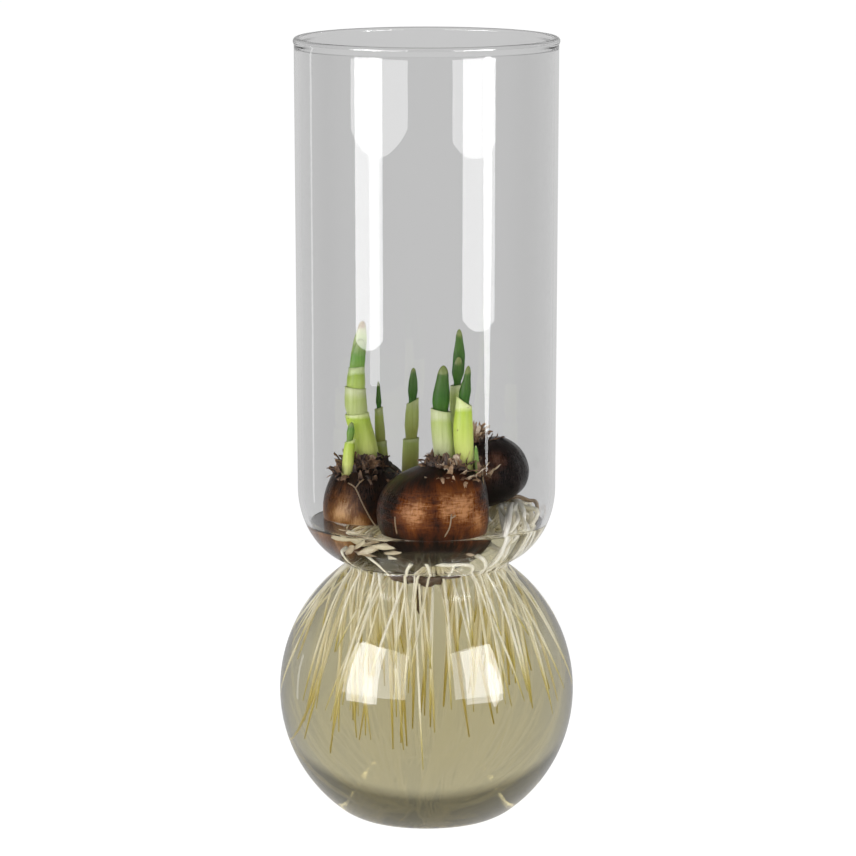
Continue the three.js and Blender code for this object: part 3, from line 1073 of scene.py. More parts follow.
@dataclass
class Bulb:
    """A bulb with its torn papery neck."""

    node: str
    noses: tuple[Nose, ...]
    skin: BulbSkin
    slot: Slot
    seed: int
    tufts: tuple["Tuft", ...]
    paper: Papery
    uneven: float = 1.3

    def build(self) -> None:
        """Makes the bulb and its neck."""
        self.build_body()
        self.build_neck()

    def build_body(self) -> None:
        """Makes the onion-shaped body."""
        piece = Piece(self.node.replace("bulb_", "") + "_bulb")
        for i, nose in enumerate(self.noses):
            nose.grow(piece, self.seed + 7.3 * i, self.uneven)
        piece.fit(self.node)
        centre = Vector(self.noses[0].at) * MM
        piece.keep(self.skin.material(self.node + "_skin", centre), self.slot, [self.node])

    def build_neck(self) -> None:
        """Makes the torn flakes round the neck, tuft by tuft."""
        draw = random.Random(self.seed)
        piece = Piece(self.node.replace("bulb_", "") + "_neck_flakes")
        nose = self.noses[0]
        for tuft in self.tufts:
            for i in range(tuft.count):
                around = math.radians(lerp(*tuft.bearings, (i + draw.random()) / tuft.count))
                foot = nose.crown(around, draw.uniform(*tuft.out), draw.uniform(*tuft.up))
                twist = around - math.pi / 2 + draw.uniform(-0.5, 0.5)
                where = (Matrix.Translation(foot) @ Matrix.Rotation(twist, 4, "Z")
                         @ Matrix.Rotation(-draw.uniform(*tuft.splay), 4, "X")
                         @ Matrix.Rotation(draw.uniform(-0.5, 0.5), 4, "Y"))
                length = draw.uniform(*tuft.length)
                width = draw.uniform(*tuft.width) * length
                piece.flake((width, length), draw.uniform(-1.3, 1.9), where, draw,
                            tuft.tone + draw.uniform(-0.2, 0.2), taper=draw.uniform(0.1, 0.7))
        skin_node = self.node.replace("bulb_", "neck_skin_")
        piece.keep(self.paper.material(self.node + "_paper"), Slot.PAPER, [skin_node])


# ---------------------------------------------------------------- shoots


@dataclass(frozen=True)
class Sheath:
    """A tubular sheath: its radius by height, and how its rim slants."""

    part: str
    outline: tuple[Row, ...]
    slant: float
    finish: Blade


@dataclass(frozen=True)
class Leaf:
    """A leaf blade: its half width by height, its relative thickness and its offset from the spine."""

    part: str
    outline: tuple[Row, ...]
    thick: float
    offset: float
    finish: Blade


@dataclass
class Shoot:
    """A shoot: sheaths round a bundle of leaves on one spine."""

    name: str
    spine: tuple[Row, ...]
    sheaths: tuple[Sheath, ...] = ()
    leaves: tuple[Leaf, ...] = ()
    wall: float = 0.5
    hollow: float = 7.0
    sides: int = 28

    def along(self, height: float) -> Vector:
        """Finds the middle of the shoot.

        Args:
            height: At which height.

        Returns:
            The spine's point there, eased.
        """
        rows = self.spine
        step = 4.0
        near = [table(rows, height + shift) for shift in (-step, 0.0, step)]
        x, y = [sum(values) / len(near) for values in zip(*near)]
        return Vector((x, y, height))

    def station(self, height: float, half_x: float, half_y: float, slant: float,
                offset: float = 0.0) -> Matrix:
        """Places a ring on the spine.

        Args:
            height: Its height.
            half_x: Its half width along X.
            half_y: Its half width along Y.
            slant: How its plane slants.
            offset: How far it stands behind the spine.

        Returns:
            Where a ring of unit radius goes.
        """
        centre = self.along(height) + Vector((0.0, offset, 0.0))
        ring = Matrix.Diagonal((half_x, half_y, 1.0, 1.0))
        ring[2][0] = slant
        return Matrix.Translation(centre) @ ring

    def build(self) -> None:
        """Makes every sheath and leaf."""
        for sheath in self.sheaths:
            self.build_sheath(sheath)
        for leaf in self.leaves:
            self.build_leaf(leaf)

    def build_sheath(self, sheath: Sheath) -> None:
        """Makes one sheath: up its outside, over its thin rim and down inside.

        Args:
            sheath: Its sizes and finish.
        """
        low, rim = sheath.outline[0][0], sheath.outline[-1][0]
        count = max(8, round((rim - low) / 1.5))
        stations = []
        for i in range(count + 1):
            height = lerp(low, rim, i / count)
            radius = table(sheath.outline, height)[0]
            near = smooth(rim - 6, rim, height)
            lip = 0.12 * smooth(rim - 1.2, rim - 0.2, height)
            stations.append(self.station(height, radius + lip, radius + lip, sheath.slant * near))
        crest = radius - self.wall * 0.4
        stations.append(self.station(rim + 0.15, crest, crest, sheath.slant))
        for i in range(1, 5):
            height = rim - self.hollow * i / 4
            inner = table(sheath.outline, height)[0] - self.wall
            near = smooth(rim - 6, rim, height)
            stations.append(self.station(height, inner, inner, sheath.slant * near))
        self.finish(sheath, stations, False)

    def build_leaf(self, leaf: Leaf) -> None:
        """Makes one leaf blade, rounded to its tip.

        Args:
            leaf: Its sizes and finish.
        """
        low, tip = leaf.outline[0][0], leaf.outline[-1][0]
        count = max(10, round((tip - low) / 1.5))
        stations = []
        for i in range(count + 1):
            share = i / count
            height = lerp(low, tip - 0.02, 1 - (1 - share) ** 1.25)
            half = max(0.05, self.blade_half(leaf, height))
            stations.append(self.station(height, half, max(0.05, half * leaf.thick), 0.0, leaf.offset))
        self.finish(leaf, stations, True)

    @staticmethod
    def blade_half(leaf: Leaf, height: float) -> float:
        """Reads how wide a blade is.

        Args:
            leaf: The leaf.
            height: At which height.

        Returns:
            Its half width, rounding off to nothing at its tip.
        """
        half = table(leaf.outline, height)[0]
        before, tip = leaf.outline[-2], leaf.outline[-1][0]
        if height > before[0]:
            share = (height - before[0]) / (tip - before[0])
            return before[1] * math.sqrt(max(0.0, 1 - share ** 1.7))
        return half

    def finish(self, form: Sheath | Leaf, stations: Sequence[Matrix], point: bool) -> None:
        """Lofts a form, seats it on its CAD node and dresses it.

        Args:
            form: The sheath or leaf.
            stations: Where its rings go.
            point: Whether it closes to a point, as a leaf does.
        """
        node = f"{self.name}_{form.part}"
        piece = Piece(f"{node}_skin")
        piece.loft(stations, self.sides, point=point)
        piece.seat(node)
        low = form.outline[0][0] * MM if point else max(form.outline[0][0], form.outline[-1][0] - 40) * MM
        high = form.outline[-1][0] * MM
        slot = Slot.LEAF if point else Slot.SHEATH
        piece.keep(form.finish.material(node, middle_of(node), low, high), slot, [node])


# ---------------------------------------------------------------- roots


@dataclass
class Roots:
    """Roots of all the bulbs: fine ones in the ball, fat ones in the cup and dry hairs over the bulbs."""

    vase: Vase
    noses: dict[str, Nose]
    fine: int = 150
    fat: int = 22
    hair: float = 0.34  # radius of a dry hair
    throat: tuple[float, float] = (15.0, 33.4)  # least and greatest radius at which roots pass the waist
    throat_height: float = 122.5
    flesh: RootFlesh = RootFlesh(
        stops=((0.0, (0.78, 0.7, 0.48)), (0.25, (0.9, 0.87, 0.78)), (0.86, (0.92, 0.89, 0.8)),
               (0.94, (0.6, 0.52, 0.18)), (1.0, (0.42, 0.34, 0.07))),
        aged=(0.62, 0.54, 0.3),
    )
    dry: RootFlesh = RootFlesh(
        stops=((0.0, (0.3, 0.2, 0.11)), (1.0, (0.34, 0.24, 0.13))), aged=(0.12, 0.08, 0.04),
    )

    def build(self) -> None:
        """Makes every cluster."""
        self.build_fine()
        self.build_clump()
        self.build_hairs()

    def owner(self, bearing: float) -> str:
        """Tells whose roots leave at a bearing.

        Args:
            bearing: The bearing in degrees.

        Returns:
            The bulb's name.
        """
        if -130 < bearing < -38:
            return "front"
        if -38 <= bearing < 78:
            return "right"
        return "rear" if bearing < 122 else "left"

    def build_fine(self) -> None:
        """Makes the fine roots that fan out in the ball, one piece for each bulb."""
        draw = random.Random(11)
        flesh = self.flesh.material("root_flesh")
        pieces = {name: Piece(f"{name}_roots") for name in self.noses}
        for i in range(self.fine):
            bearing = (i * GOLDEN * 360 + draw.uniform(-6, 6)) % 360
            bearing = bearing - 360 if bearing > 180 else bearing
            name = self.owner(bearing)
            nose = self.noses[name]
            angle = math.radians(bearing)
            rightness = max(0.0, math.cos(angle))
            gate_r = lerp(*self.throat, math.sqrt(draw.random()))
            tip_z = lerp(36, 90, draw.random() ** 1.1) + 24 * rightness * draw.uniform(0.6, 1.0)
            tip_z = min(tip_z, 100.0)
            spread = draw.random()
            tip_r = lerp(gate_r * 0.6, 58.0, spread)
            tip_r = min(tip_r, self.vase.inside_radius(tip_z) - 2.0)
            tip_angle = angle + draw.uniform(-0.22, 0.22)
            base = nose.where() @ Vector((0, 0, -nose.below + 1.0))
            outward = Vector((math.cos(angle), math.sin(angle), 0))
            start = base + outward * nose.plate * draw.uniform(0.2, 0.9)
            gate = Vector((gate_r * math.cos(angle), gate_r * math.sin(angle), self.throat_height))
            above = start.lerp(gate, 0.55) + Vector((0, 0, draw.uniform(-2, 1)))
            tip = Vector((tip_r * math.cos(tip_angle), tip_r * math.sin(tip_angle), tip_z))
            inside = gate.lerp(tip, 0.42) + outward * draw.uniform(0.0, 2.5)
            points = curve([start, above, gate, inside, tip], 17)
            thick = draw.uniform(0.5, 0.72)
            radii = [thick * (1.0 if k < 15 else 0.75 if k < 16 else 0.35) for k in range(17)]
            tones = [k / 16 for k in range(17)]
            pieces[name].strand(points, radii, 6, tones, max(0.0, draw.uniform(-0.5, 0.8)))
        for name, piece in pieces.items():
            piece.keep(flesh, Slot.ROOT, [f"roots_{name}"])

    def build_clump(self) -> None:
        """Makes the fat tangled roots in the cup and the curled dead loop."""
        draw = random.Random(5)
        piece = Piece("cup_fat_roots")
        base = self.noses["right"].where() @ Vector((0, 0, -self.noses["right"].below))
        for i in range(self.fat):
            share = i / (self.fat - 1)
            bearing = math.radians(lerp(-46, 24, share) + draw.uniform(-4, 4))
            outward = Vector((math.cos(bearing), math.sin(bearing), 0))
            start = base + Vector((draw.uniform(-2, 9), lerp(-15, 3, share), draw.uniform(-0.5, 1.5)))
            bulge = outward * draw.uniform(43, 53.5) + UP * draw.uniform(141, 149)
            bottom = outward * draw.uniform(38, 46) + UP * draw.uniform(131, 136)
            gate = outward * draw.uniform(26, 33) + UP * draw.uniform(112, 122)
            rise = start.lerp(bulge, 0.5) + UP * draw.uniform(0, 2.5)
            points = curve([start, rise, bulge, bottom, gate], 19)
            thick = draw.uniform(1.0, 1.55)
            radii = [thick * lerp(1.0, 0.6, k / 18) * (0.5 if k == 18 else 1) for k in range(19)]
            tones = [0.25 + 0.3 * (k / 18) for k in range(19)]
            piece.strand(points, radii, 8, tones, draw.uniform(-0.3, 0.7))
        self.build_front_fat(piece, draw)
        piece.keep(self.flesh.material("fat_root_flesh"), Slot.ROOT)
        loop = Piece("dead_root_loop")
        turns = [(38, 12, 151), (43, 14, 152.5), (48.6, 16, 150.2), (52.5, 16, 149.4), (53.6, 15, 145),
                 (50.5, 14, 141.2), (46.5, 13, 143), (46.2, 12.5, 147), (50, 12.5, 148.6)]
        for lift, seed in ((0.0, 1), (1.6, 2)):
            shifted = [Vector(t) + Vector((0.6 * seed - 0.6, -lift, lift * 0.5)) for t in turns[: 9 - seed]]
            points = curve(shifted, 26)
            loop.strand(points, [0.75 - 0.012 * k for k in range(26)], 7, [k / 25 for k in range(26)], 0.4)
        loop.keep(self.dry.material("dead_root_skin"), Slot.ROOT)

    def build_front_fat(self, piece: Piece, draw: random.Random) -> None:
        """Adds the fat roots that lie against the front of the cup, under the front bulb.

        Args:
            piece: The piece they join.
            draw: The seeded source of their unevenness.
        """
        ways = [
            [(-16, -34, 136), (-9, -41, 135.6), (-2, -42, 134.6), (1, -38, 130), (2, -31, 122)],
            [(2, -36, 134), (9, -41.5, 131.6), (16, -40, 131.4), (21, -36, 129.5), (20, -27, 122)],
            [(-6, -36, 134), (-7.5, -39.5, 131.5), (-9, -38, 128), (-9, -31, 122)],
            [(-26, -28, 137), (-25, -36, 134), (-21, -36.5, 129.5), (-17, -29, 122)],
            [(18, -33, 138), (25, -36, 134), (27, -31, 128), (23, -24, 121)],
            [(26, -25, 141), (33, -28, 136), (33, -24, 129.5), (27, -18, 121)],
            [(-33, -20, 139), (-37, -24, 135.5), (-34, -22, 129), (-26, -18, 121)],
            [(10, -35, 135), (12, -39, 130), (10, -33, 122)],
        ]
        for way in ways:
            points = curve([Vector(p) for p in way], 17)
            thick = draw.uniform(0.95, 1.35)
            radii = [thick * lerp(1.0, 0.55, k / 16) * (0.5 if k == 16 else 1) for k in range(17)]
            piece.strand(points, radii, 8, [0.4] * 17, draw.uniform(0.0, 0.45))

    def build_hairs(self) -> None:
        """Makes the thin dry roots that lie over the bulbs."""
        piece = Piece("dry_root_hairs")
        ways = [
            [(-37, -8.5, 163), (-33.5, -11.5, 161), (-30, -13.5, 153.6), (-25, -14, 144.5), (-19, -18, 139)],
            [(-33.5, -11.5, 161), (-31.5, -10.8, 163.6), (-29.5, -9.5, 165)],
            [(11.5, -55.6, 156), (10.6, -55.6, 150), (8, -54, 145), (6, -50, 141)],
            [(11, -55.9, 154), (13.5, -55.4, 155.6)],
            [(-14.6, -50, 154), (-14.2, -50.5, 149), (-13, -48, 144)],
            [(22, -34.5, 178), (25.5, -33, 173), (26.6, -35.5, 166)],
        ]
        for way in ways:
            points = curve([Vector(p) for p in way], 13)
            radii = [self.hair * (0.5 if k == 12 else 1) for k in range(13)]
            piece.strand(points, radii, 5, [k / 12 for k in range(13)], 0.2)
        piece.keep(self.dry.material("dry_root_skin"), Slot.ROOT)


@dataclass
class Debris:
    """Cream bulb scales and brown scraps in the water, and the old brown plate in the waist."""

    scale_paper: Papery = Papery(
        stops=((0.0, (0.08, 0.04, 0.02)), (0.35, (0.3, 0.18, 0.1)), (0.65, (0.5, 0.4, 0.26)),
               (1.0, (0.62, 0.55, 0.38))),
        roughness=0.5, grain=500.0,
    )
    old_plate: Papery = Papery(
        stops=((0.0, (0.02, 0.01, 0.005)), (0.6, (0.1, 0.05, 0.02)), (1.0, (0.25, 0.15, 0.07))), grain=400.0,
    )

    def build(self) -> None:
        """Makes the scales and the plate."""
        draw = random.Random(23)
        piece = Piece("shed_scales")
        beds = [
            ((-31, -37, 141.5), 15, 3.0, 96, 0.9), ((-25.5, -41, 138.8), 15, 3.4, 78, 0.75),
            ((-18.5, -44.2, 140.4), 14, 2.4, 100, 0.95), ((-13.5, -43.5, 138.0), 11, 2.6, 66, 0.8),
            ((-33, -33, 138.0), 13, 2.6, 108, 0.65), ((-8, -44, 139.0), 14, 1.8, 85, 0.35),
            ((-1, -42.5, 138.0), 10, 1.6, 70, 0.3), ((-37, -28, 142.0), 13, 1.9, 95, 0.9),
            ((19.5, -42.5, 136.5), 5, 1.7, 80, 0.55), ((-4, 2, 141.5), 10, 3, 90, 0.5),
            ((-22, -39, 142.4), 13, 1.6, 90, 0.6), ((-27.5, -36.5, 136), 11, 2.0, 100, 0.5),
            ((-12, -42.5, 141.6), 11, 1.5, 88, 0.5), ((5, -43.5, 137.2), 10, 1.4, 84, 0.25),
            ((-29, -38.5, 140.2), 12, 1.7, 70, 0.85), ((-16, -43.6, 141.9), 10, 1.4, 112, 0.8),
        ]
        for at, length, width, lay, tone in beds:
            facing = math.atan2(at[1], at[0]) + math.pi / 2
            where = (Matrix.Translation(at) @ Matrix.Rotation(facing, 4, "Z")
                     @ Matrix.Rotation(math.radians(lay - 90), 4, "X")
                     @ Matrix.Rotation(draw.uniform(1.0, 2.0), 4, "Y")
                     @ Matrix.Translation((0, 0, -length / 2)))
            piece.flake((width, length), draw.uniform(-0.9, 0.9), where, draw, tone, wall=0.28, petal=True)
        scraps = [f"skin_scrap_{i}" for i in (1, 2, 3)]
        piece.keep(self.scale_paper.material("scale_skin"), Slot.SCRAP, scraps)
        plate = Piece("old_root_plate")
        for at, size in (((-8, -27.5, 119.5), (9, 4, 4)), ((1, -27, 117.5), (7, 4, 4)),
                         ((-3, -24, 109), (1.3, 1.3, 10)), ((9, -26.5, 120), (6, 4, 2.4))):
            lump = bmesh.ops.create_icosphere(plate.bm, subdivisions=3, radius=1.0)["verts"]
            bmesh.ops.scale(plate.bm, vec=size, verts=lump)
            plate.move(lump, lambda co: co * (1 + 0.35 * noise.noise(co * 0.5)))
            bmesh.ops.translate(plate.bm, vec=at, verts=lump)
            for v in lump:
                v[plate.tone] = 0.4
        plate.keep(self.old_plate.material("old_plate_skin"), Slot.SCRAP)


# ---------------------------------------------------------------- studio


@dataclass
class Studio:
    """Camera, pale floor and soft lights."""

    distance: float = 2.5
    camera_height: float = 0.5763
    pitch: float = 8.857
    lens: float = 224.3
    shift: tuple[float, float] = (0.00175, 0.0028)
    backdrop: float = 0.61
    dusk: tuple[float, float] = (0.05, 0.98)
    room: float = 0.03
    mirror_distance: float = 2.0
    grey_by_lift: tuple[Row, ...] = (  # from straight down to straight up
        (0.0, 1.12), (0.35, 1.05), (0.42, 1.0), (0.6, 1.02), (0.64, 0.36), (1.0, 0.3),
    )

    def build(self) -> None:
        """Sets up everything around the object."""
        self.build_camera()
        self.build_floor()
        self.build_world()
        self.softbox("left_key", 50.0, 1.05, (0.72, 0.85), 0.49, 2.4)
        self.softbox("right_key", -42.0, 1.05, (0.5, 0.80), 0.50, 2.0)
        self.softbox("top_key", 0.0, 1.3, (1.0, 0.6), 1.5, 1.6)
        self.mirror("left_band", (38.0, 64.0), (-0.06, 1.5), 8.5)
        self.mirror("left_core", (41.0, 50.0), (-0.09, 0.6), 4.0)
        self.mirror("left_high", (16.0, 68.0), (0.1, 1.5), 5.0)
        self.mirror("right_band", (-61.0, -31.0), (-0.045, 1.45), 7.0)
        self.mirror("right_core", (-58.5, -49.5), (-0.165, 0.9), 8.0, "ELLIPSE")
        self.mirror("right_high", (-61.5, -22.0), (0.1, 1.5), 5.0)
        self.mirror("far_right", (-114.0, -111.0), (0.5, 1.3), 1.4)
        self.mirror("far_left", (118.0, 121.0), (-0.3, 0.3), 1.6)
        scene = bpy.context.scene
        scene.view_settings.view_transform = "Standard"
        scene.cycles.max_bounces = 24
        scene.cycles.transmission_bounces = 20
        scene.cycles.transparent_max_bounces = 24
        scene.cycles.glossy_bounces = 8

    def build_camera(self) -> None:
        """Stands the camera in front of the vase, looking slightly down."""
        data = bpy.data.cameras.new("camera")
        data.lens = self.lens
        data.shift_x, data.shift_y = self.shift
        data.clip_start = 0.05
        data.clip_end = 60.0
        camera = bpy.data.objects.new("camera", data)
        camera.location = (0.0, -self.distance, self.camera_height)
        camera.rotation_euler = (math.radians(90 - self.pitch), 0.0, 0.0)
        bpy.context.scene.collection.objects.link(camera)
        bpy.context.scene.camera = camera

    def build_floor(self) -> None:
        """Lays a wide pale floor."""
        bm = bmesh.new()
        bmesh.ops.create_circle(bm, cap_ends=True, radius=30.0, segments=96)
        mesh = bpy.data.meshes.new("pale_floor")
        bm.to_mesh(mesh)
        bm.free()
        make = Maker("pale_floor")
        matt = make.node("ShaderNodeBsdfDiffuse", None, {"Color": (0.32, 0.32, 0.32)})
        glow = make.node("ShaderNodeEmission", None, {"Color": (1.0, 1.0, 1.0), "Strength": 0.95})
        both = make.node("ShaderNodeAddShader", None, {0: matt.outputs[0], 1: glow.outputs[0]})
        mesh.materials.append(make.done(both))
        floor = bpy.data.objects.new("pale_floor", mesh)
        floor.visible_transmission = False
        floor.visible_glossy = False
        bpy.context.scene.collection.objects.link(floor)

    def build_world(self) -> None:
        """Makes a white sky that is softly grey in what it lights and in what glass shows of it."""
        world = bpy.data.worlds.new("studio")
        bpy.context.scene.world = world
        world.use_nodes = True
        tree = world.node_tree
        tree.nodes.clear()
        direction = tree.nodes.new("ShaderNodeTexCoord")
        split = tree.nodes.new("ShaderNodeSeparateXYZ")
        tree.links.new(direction.outputs["Generated"], split.inputs[0])
        lift = tree.nodes.new("ShaderNodeMapRange")
        lift.inputs["From Min"].default_value = -1.0
        tree.links.new(split.outputs["Z"], lift.inputs["Value"])
        ramp = tree.nodes.new("ShaderNodeValToRGB")
        grey = self.backdrop
        Maker.fill_ramp(ramp.color_ramp, [
            (place, (grey * share,) * 3) for place, share in self.grey_by_lift
        ])
        tree.links.new(lift.outputs[0], ramp.inputs[0])
        depth = tree.nodes.new("ShaderNodeMapRange")
        depth.interpolation_type = "SMOOTHSTEP"
        depth.inputs["From Min"].default_value = self.dusk[0]
        depth.inputs["From Max"].default_value = self.dusk[1]
        depth.inputs["To Min"].default_value = self.room
        tree.links.new(split.outputs["Y"], depth.inputs["Value"])
        path = tree.nodes.new("ShaderNodeLightPath")
        mirrored = self.sky(tree, ramp.outputs[0], depth.outputs[0])
        seen_through = self.sky(tree, ramp.outputs[0], 1.0)
        white = self.sky(tree, (1.0, 1.0, 1.0, 1.0), 1.0)
        first = tree.nodes.new("ShaderNodeMixShader")
        tree.links.new(path.outputs["Is Glossy Ray"], first.inputs[0])
        tree.links.new(seen_through, first.inputs[1])
        tree.links.new(mirrored, first.inputs[2])
        mixed = tree.nodes.new("ShaderNodeMixShader")
        tree.links.new(path.outputs["Is Camera Ray"], mixed.inputs[0])
        tree.links.new(first.outputs[0], mixed.inputs[1])
        tree.links.new(white, mixed.inputs[2])
        end = tree.nodes.new("ShaderNodeOutputWorld")
        tree.links.new(mixed.outputs[0], end.inputs["Surface"])

    @staticmethod
    def sky(tree: bpy.types.NodeTree, colour: object, strength: object) -> bpy.types.NodeSocket:
        """Adds one background.

        Args:
            tree: The world's node tree.
            colour: Its colour, or a socket.
            strength: Its strength, or a socket.

        Returns:
            Its shader.
        """
        made = tree.nodes.new("ShaderNodeBackground")
        for socket, value in ((made.inputs["Color"], colour), (made.inputs["Strength"], strength)):
            if isinstance(value, bpy.types.NodeSocket):
                tree.links.new(value, socket)
            else:
                socket.default_value = value
        return made.outputs[0]

    def mirror(self, name: str, bearings: tuple[float, float], heights: tuple[float, float], radiance: float,
               shape: str = "RECTANGLE") -> None:
        """Hangs a softbox that only shows in reflections.

        Args:
            name: Its name.
            bearings: Its two sides, in degrees to the left of the camera as the vase sees it.
            heights: Its foot and its top, in metres.
            radiance: Its brightness.
            shape: Blender's area shape.
        """
        far = self.mirror_distance
        turn = math.radians(sum(bearings) / 2)
        width = 2 * far * math.tan(math.radians(abs(bearings[0] - bearings[1])) / 2)
        height = sum(heights) / 2
        light = bpy.data.lights.new(name, "AREA")
        light.shape = shape
        light.size, light.size_y = width, heights[1] - heights[0]
        light.energy = radiance * math.pi * light.size * light.size_y
        if shape == "ELLIPSE":
            light.energy *= math.pi / 4
        lamp = bpy.data.objects.new(name, light)
        lamp.location = (-math.sin(turn) * far, -math.cos(turn) * far, height)
        lamp.rotation_euler = (math.pi / 2, 0.0, -turn)
        lamp.visible_camera = False
        lamp.visible_diffuse = False
        lamp.visible_transmission = False
        bpy.context.scene.collection.objects.link(lamp)

    def softbox(self, name: str, bearing: float, distance: float, size: tuple[float, float], height: float,
                radiance: float) -> None:
        """Hangs a softbox that lights matt surfaces and shows in no reflection.

        Args:
            name: Its name.
            bearing: Degrees to the left of the camera as the vase sees it.
            distance: Metres from the vase's axis.
            size: Width and height in metres.
            height: Height of its middle.
            radiance: How bright its face is.
        """
        light = bpy.data.lights.new(name, "AREA")
        light.shape = "RECTANGLE"
        light.size, light.size_y = size
        light.energy = radiance * math.pi * size[0] * size[1]
        lamp = bpy.data.objects.new(name, light)
        turn = math.radians(bearing)
        lamp.location = (-math.sin(turn) * distance, -math.cos(turn) * distance, height)
        aim = Vector((0, 0, 0.25 if height > 1.0 else height)) - lamp.location
        lamp.rotation_euler = aim.to_track_quat("-Z", "Y").to_euler()
        lamp.visible_camera = False
        lamp.visible_transmission = False
        lamp.visible_glossy = False
        bpy.context.scene.collection.objects.link(lamp)


# ---------------------------------------------------------------- what is in the vase

TORN_BROWN = Papery(stops=(
    (0.0, (0.012, 0.005, 0.002)), (0.3, (0.055, 0.022, 0.008)), (0.55, (0.2, 0.1, 0.04)),
    (0.78, (0.48, 0.31, 0.17)), (1.0, (0.78, 0.66, 0.5)),
))

FRONT_NOSE = Nose((2.9, -30, 154.5), 26.2, 21, 22.5, 9, 2.5, (8, 1), plate=7, slope=1.3)
LEFT_NOSE = Nose((-28, 10, 147), 21.8, 22, 19.5, 7.5, 3, (-2, 0), plate=6, slope=1.12, tuck=2.2)
LEFT_SECOND = Nose((-21, 16, 151), 13.6, 17, 16, 4.5, 1.5, plate=4, tuck=1.6)
RIGHT_NOSE = Nose((29.6, 18, 163.5), 20.4, 15.5, 15, 5, 3.5, tilt=-20, plate=6, slope=1.0)
REAR_NOSE = Nose((-5.5, 39.5, 146.5), 12.8, 11, 13, 5, 2, (-2, 0), plate=4)

DARK = (0.008, 0.003, 0.001)
# Each skin's patches sit on the bulb's front, facing the camera and the keys: amber colour whose brightest part
# is a painted highlight.
AMBER_SKIN = BulbSkin(
    dark=DARK, brown=(0.06, 0.013, 0.001), amber=(0.17, 0.045, 0.003), painted_highlight=(0.5, 0.22, 0.08),
    patches=(Patch((12, -22, 4), 22), Patch((-8, -24, 2), 17), Patch((20, -14, -3), 15)),
    wrinkle_band=(-10, 0, 8, 15), wrinkle=1.2, coat=0.12,
)
LEFT_SKIN = BulbSkin(
    dark=(0.01, 0.004, 0.002), brown=(0.055, 0.017, 0.003), amber=(0.17, 0.062, 0.01),
    painted_highlight=(0.5, 0.28, 0.12),
    patches=(Patch((-12, -16, 2), 17), Patch((-4, -19, -4), 11), Patch((-16, -6, -1), 12)),
    wrinkle_band=(4, 8, 12, 18), wrinkle=0.5, coat=0.1, streak=1.3,
)
# On this near-black skin the patches are a painted reddish reflection.
BLACK_SKIN = BulbSkin(
    dark=(0.008, 0.004, 0.003), brown=(0.016, 0.007, 0.005), amber=(0.05, 0.018, 0.01),
    painted_highlight=(0.13, 0.06, 0.035),
    patches=(Patch((-4, -19, 4), 13), Patch((4, -17, 9), 9)),
    wrinkle_band=(-8, 2, 9, 15), wrinkle=1.1, coat=0.2, roughness=0.27,
)

FRONT_TUFTS = (
    Tuft(30, (0, 360), (7, 11), (-6, -2.5), (4, 6.5), 0.42, (0.8, 1.4), (-0.2, 0.25)),
    Tuft(18, (150, 262), (7, 12), (-4.5, -0.5), (4, 7.5), 0.4),
    Tuft(16, (222, 292), (6, 11), (-6, -1.5), (4, 7), 0.82, (0.5, 1.0), (0.0, 0.6)),
    Tuft(22, (270, 395), (7, 13), (-4.5, -1), (3.5, 6.5), 0.45),
    Tuft(40, (240, 375), (10, 17.5), (-9.5, -5), (4, 8), 0.66, (0.3, 0.6), (0.8, 1.35)),
    Tuft(10, (20, 150), (7, 12), (-4, 0), (4, 7), 0.4),
)
LEFT_TUFTS = (
    Tuft(30, (0, 360), (7, 10.5), (-6.5, -2.5), (4, 6.5), 0.34, (0.8, 1.4), (-0.2, 0.25)),
    Tuft(20, (170, 380), (7, 11), (-5.5, -1), (3.5, 7), 0.36),
    Tuft(14, (200, 330), (6, 9), (-3.5, -0.5), (3, 6), 0.5),
    Tuft(12, (185, 232), (8, 13), (-9, -5), (4, 6), 0.3, (0.5, 1.0), (0.0, 0.5)),
    Tuft(24, (200, 350), (9, 15), (-10, -6), (5, 8), 0.3, (0.3, 0.6), (0.8, 1.35)),
    Tuft(8, (20, 170), (7, 10), (-4, 0), (4, 7), 0.4),
)
RIGHT_TUFTS = (
    Tuft(18, (0, 360), (3, 6), (-4, -1), (4, 7.5), 0.5, (0.5, 1.0), (-0.3, 0.2)),
    Tuft(12, (120, 300), (2, 5), (-3, 0.5), (6, 10), 0.58, (0.2, 0.45), (-0.2, 0.5)),
    Tuft(6, (200, 340), (2, 5), (-2, 1), (5, 8), 0.85, (0.2, 0.4)),
    Tuft(14, (180, 360), (5, 9), (-5, -3), (4, 7), 0.35, (0.3, 0.6), (0.8, 1.3)),
)
REAR_TUFTS = (Tuft(14, (0, 360), (4, 7), (-4, 0), (3, 6), 0.4),)

BULBS = (
    Bulb("bulb_front", (FRONT_NOSE,), AMBER_SKIN, Slot.BROWN_SKIN, 3, FRONT_TUFTS, TORN_BROWN),
    Bulb("bulb_left", (LEFT_NOSE, LEFT_SECOND), LEFT_SKIN, Slot.BROWN_SKIN, 4, LEFT_TUFTS, TORN_BROWN),
    Bulb("bulb_right", (RIGHT_NOSE,), BLACK_SKIN, Slot.DARK_SKIN, 5, RIGHT_TUFTS, TORN_BROWN),
    Bulb("bulb_rear", (REAR_NOSE,), LEFT_SKIN, Slot.BROWN_SKIN, 6, REAR_TUFTS, TORN_BROWN),
)

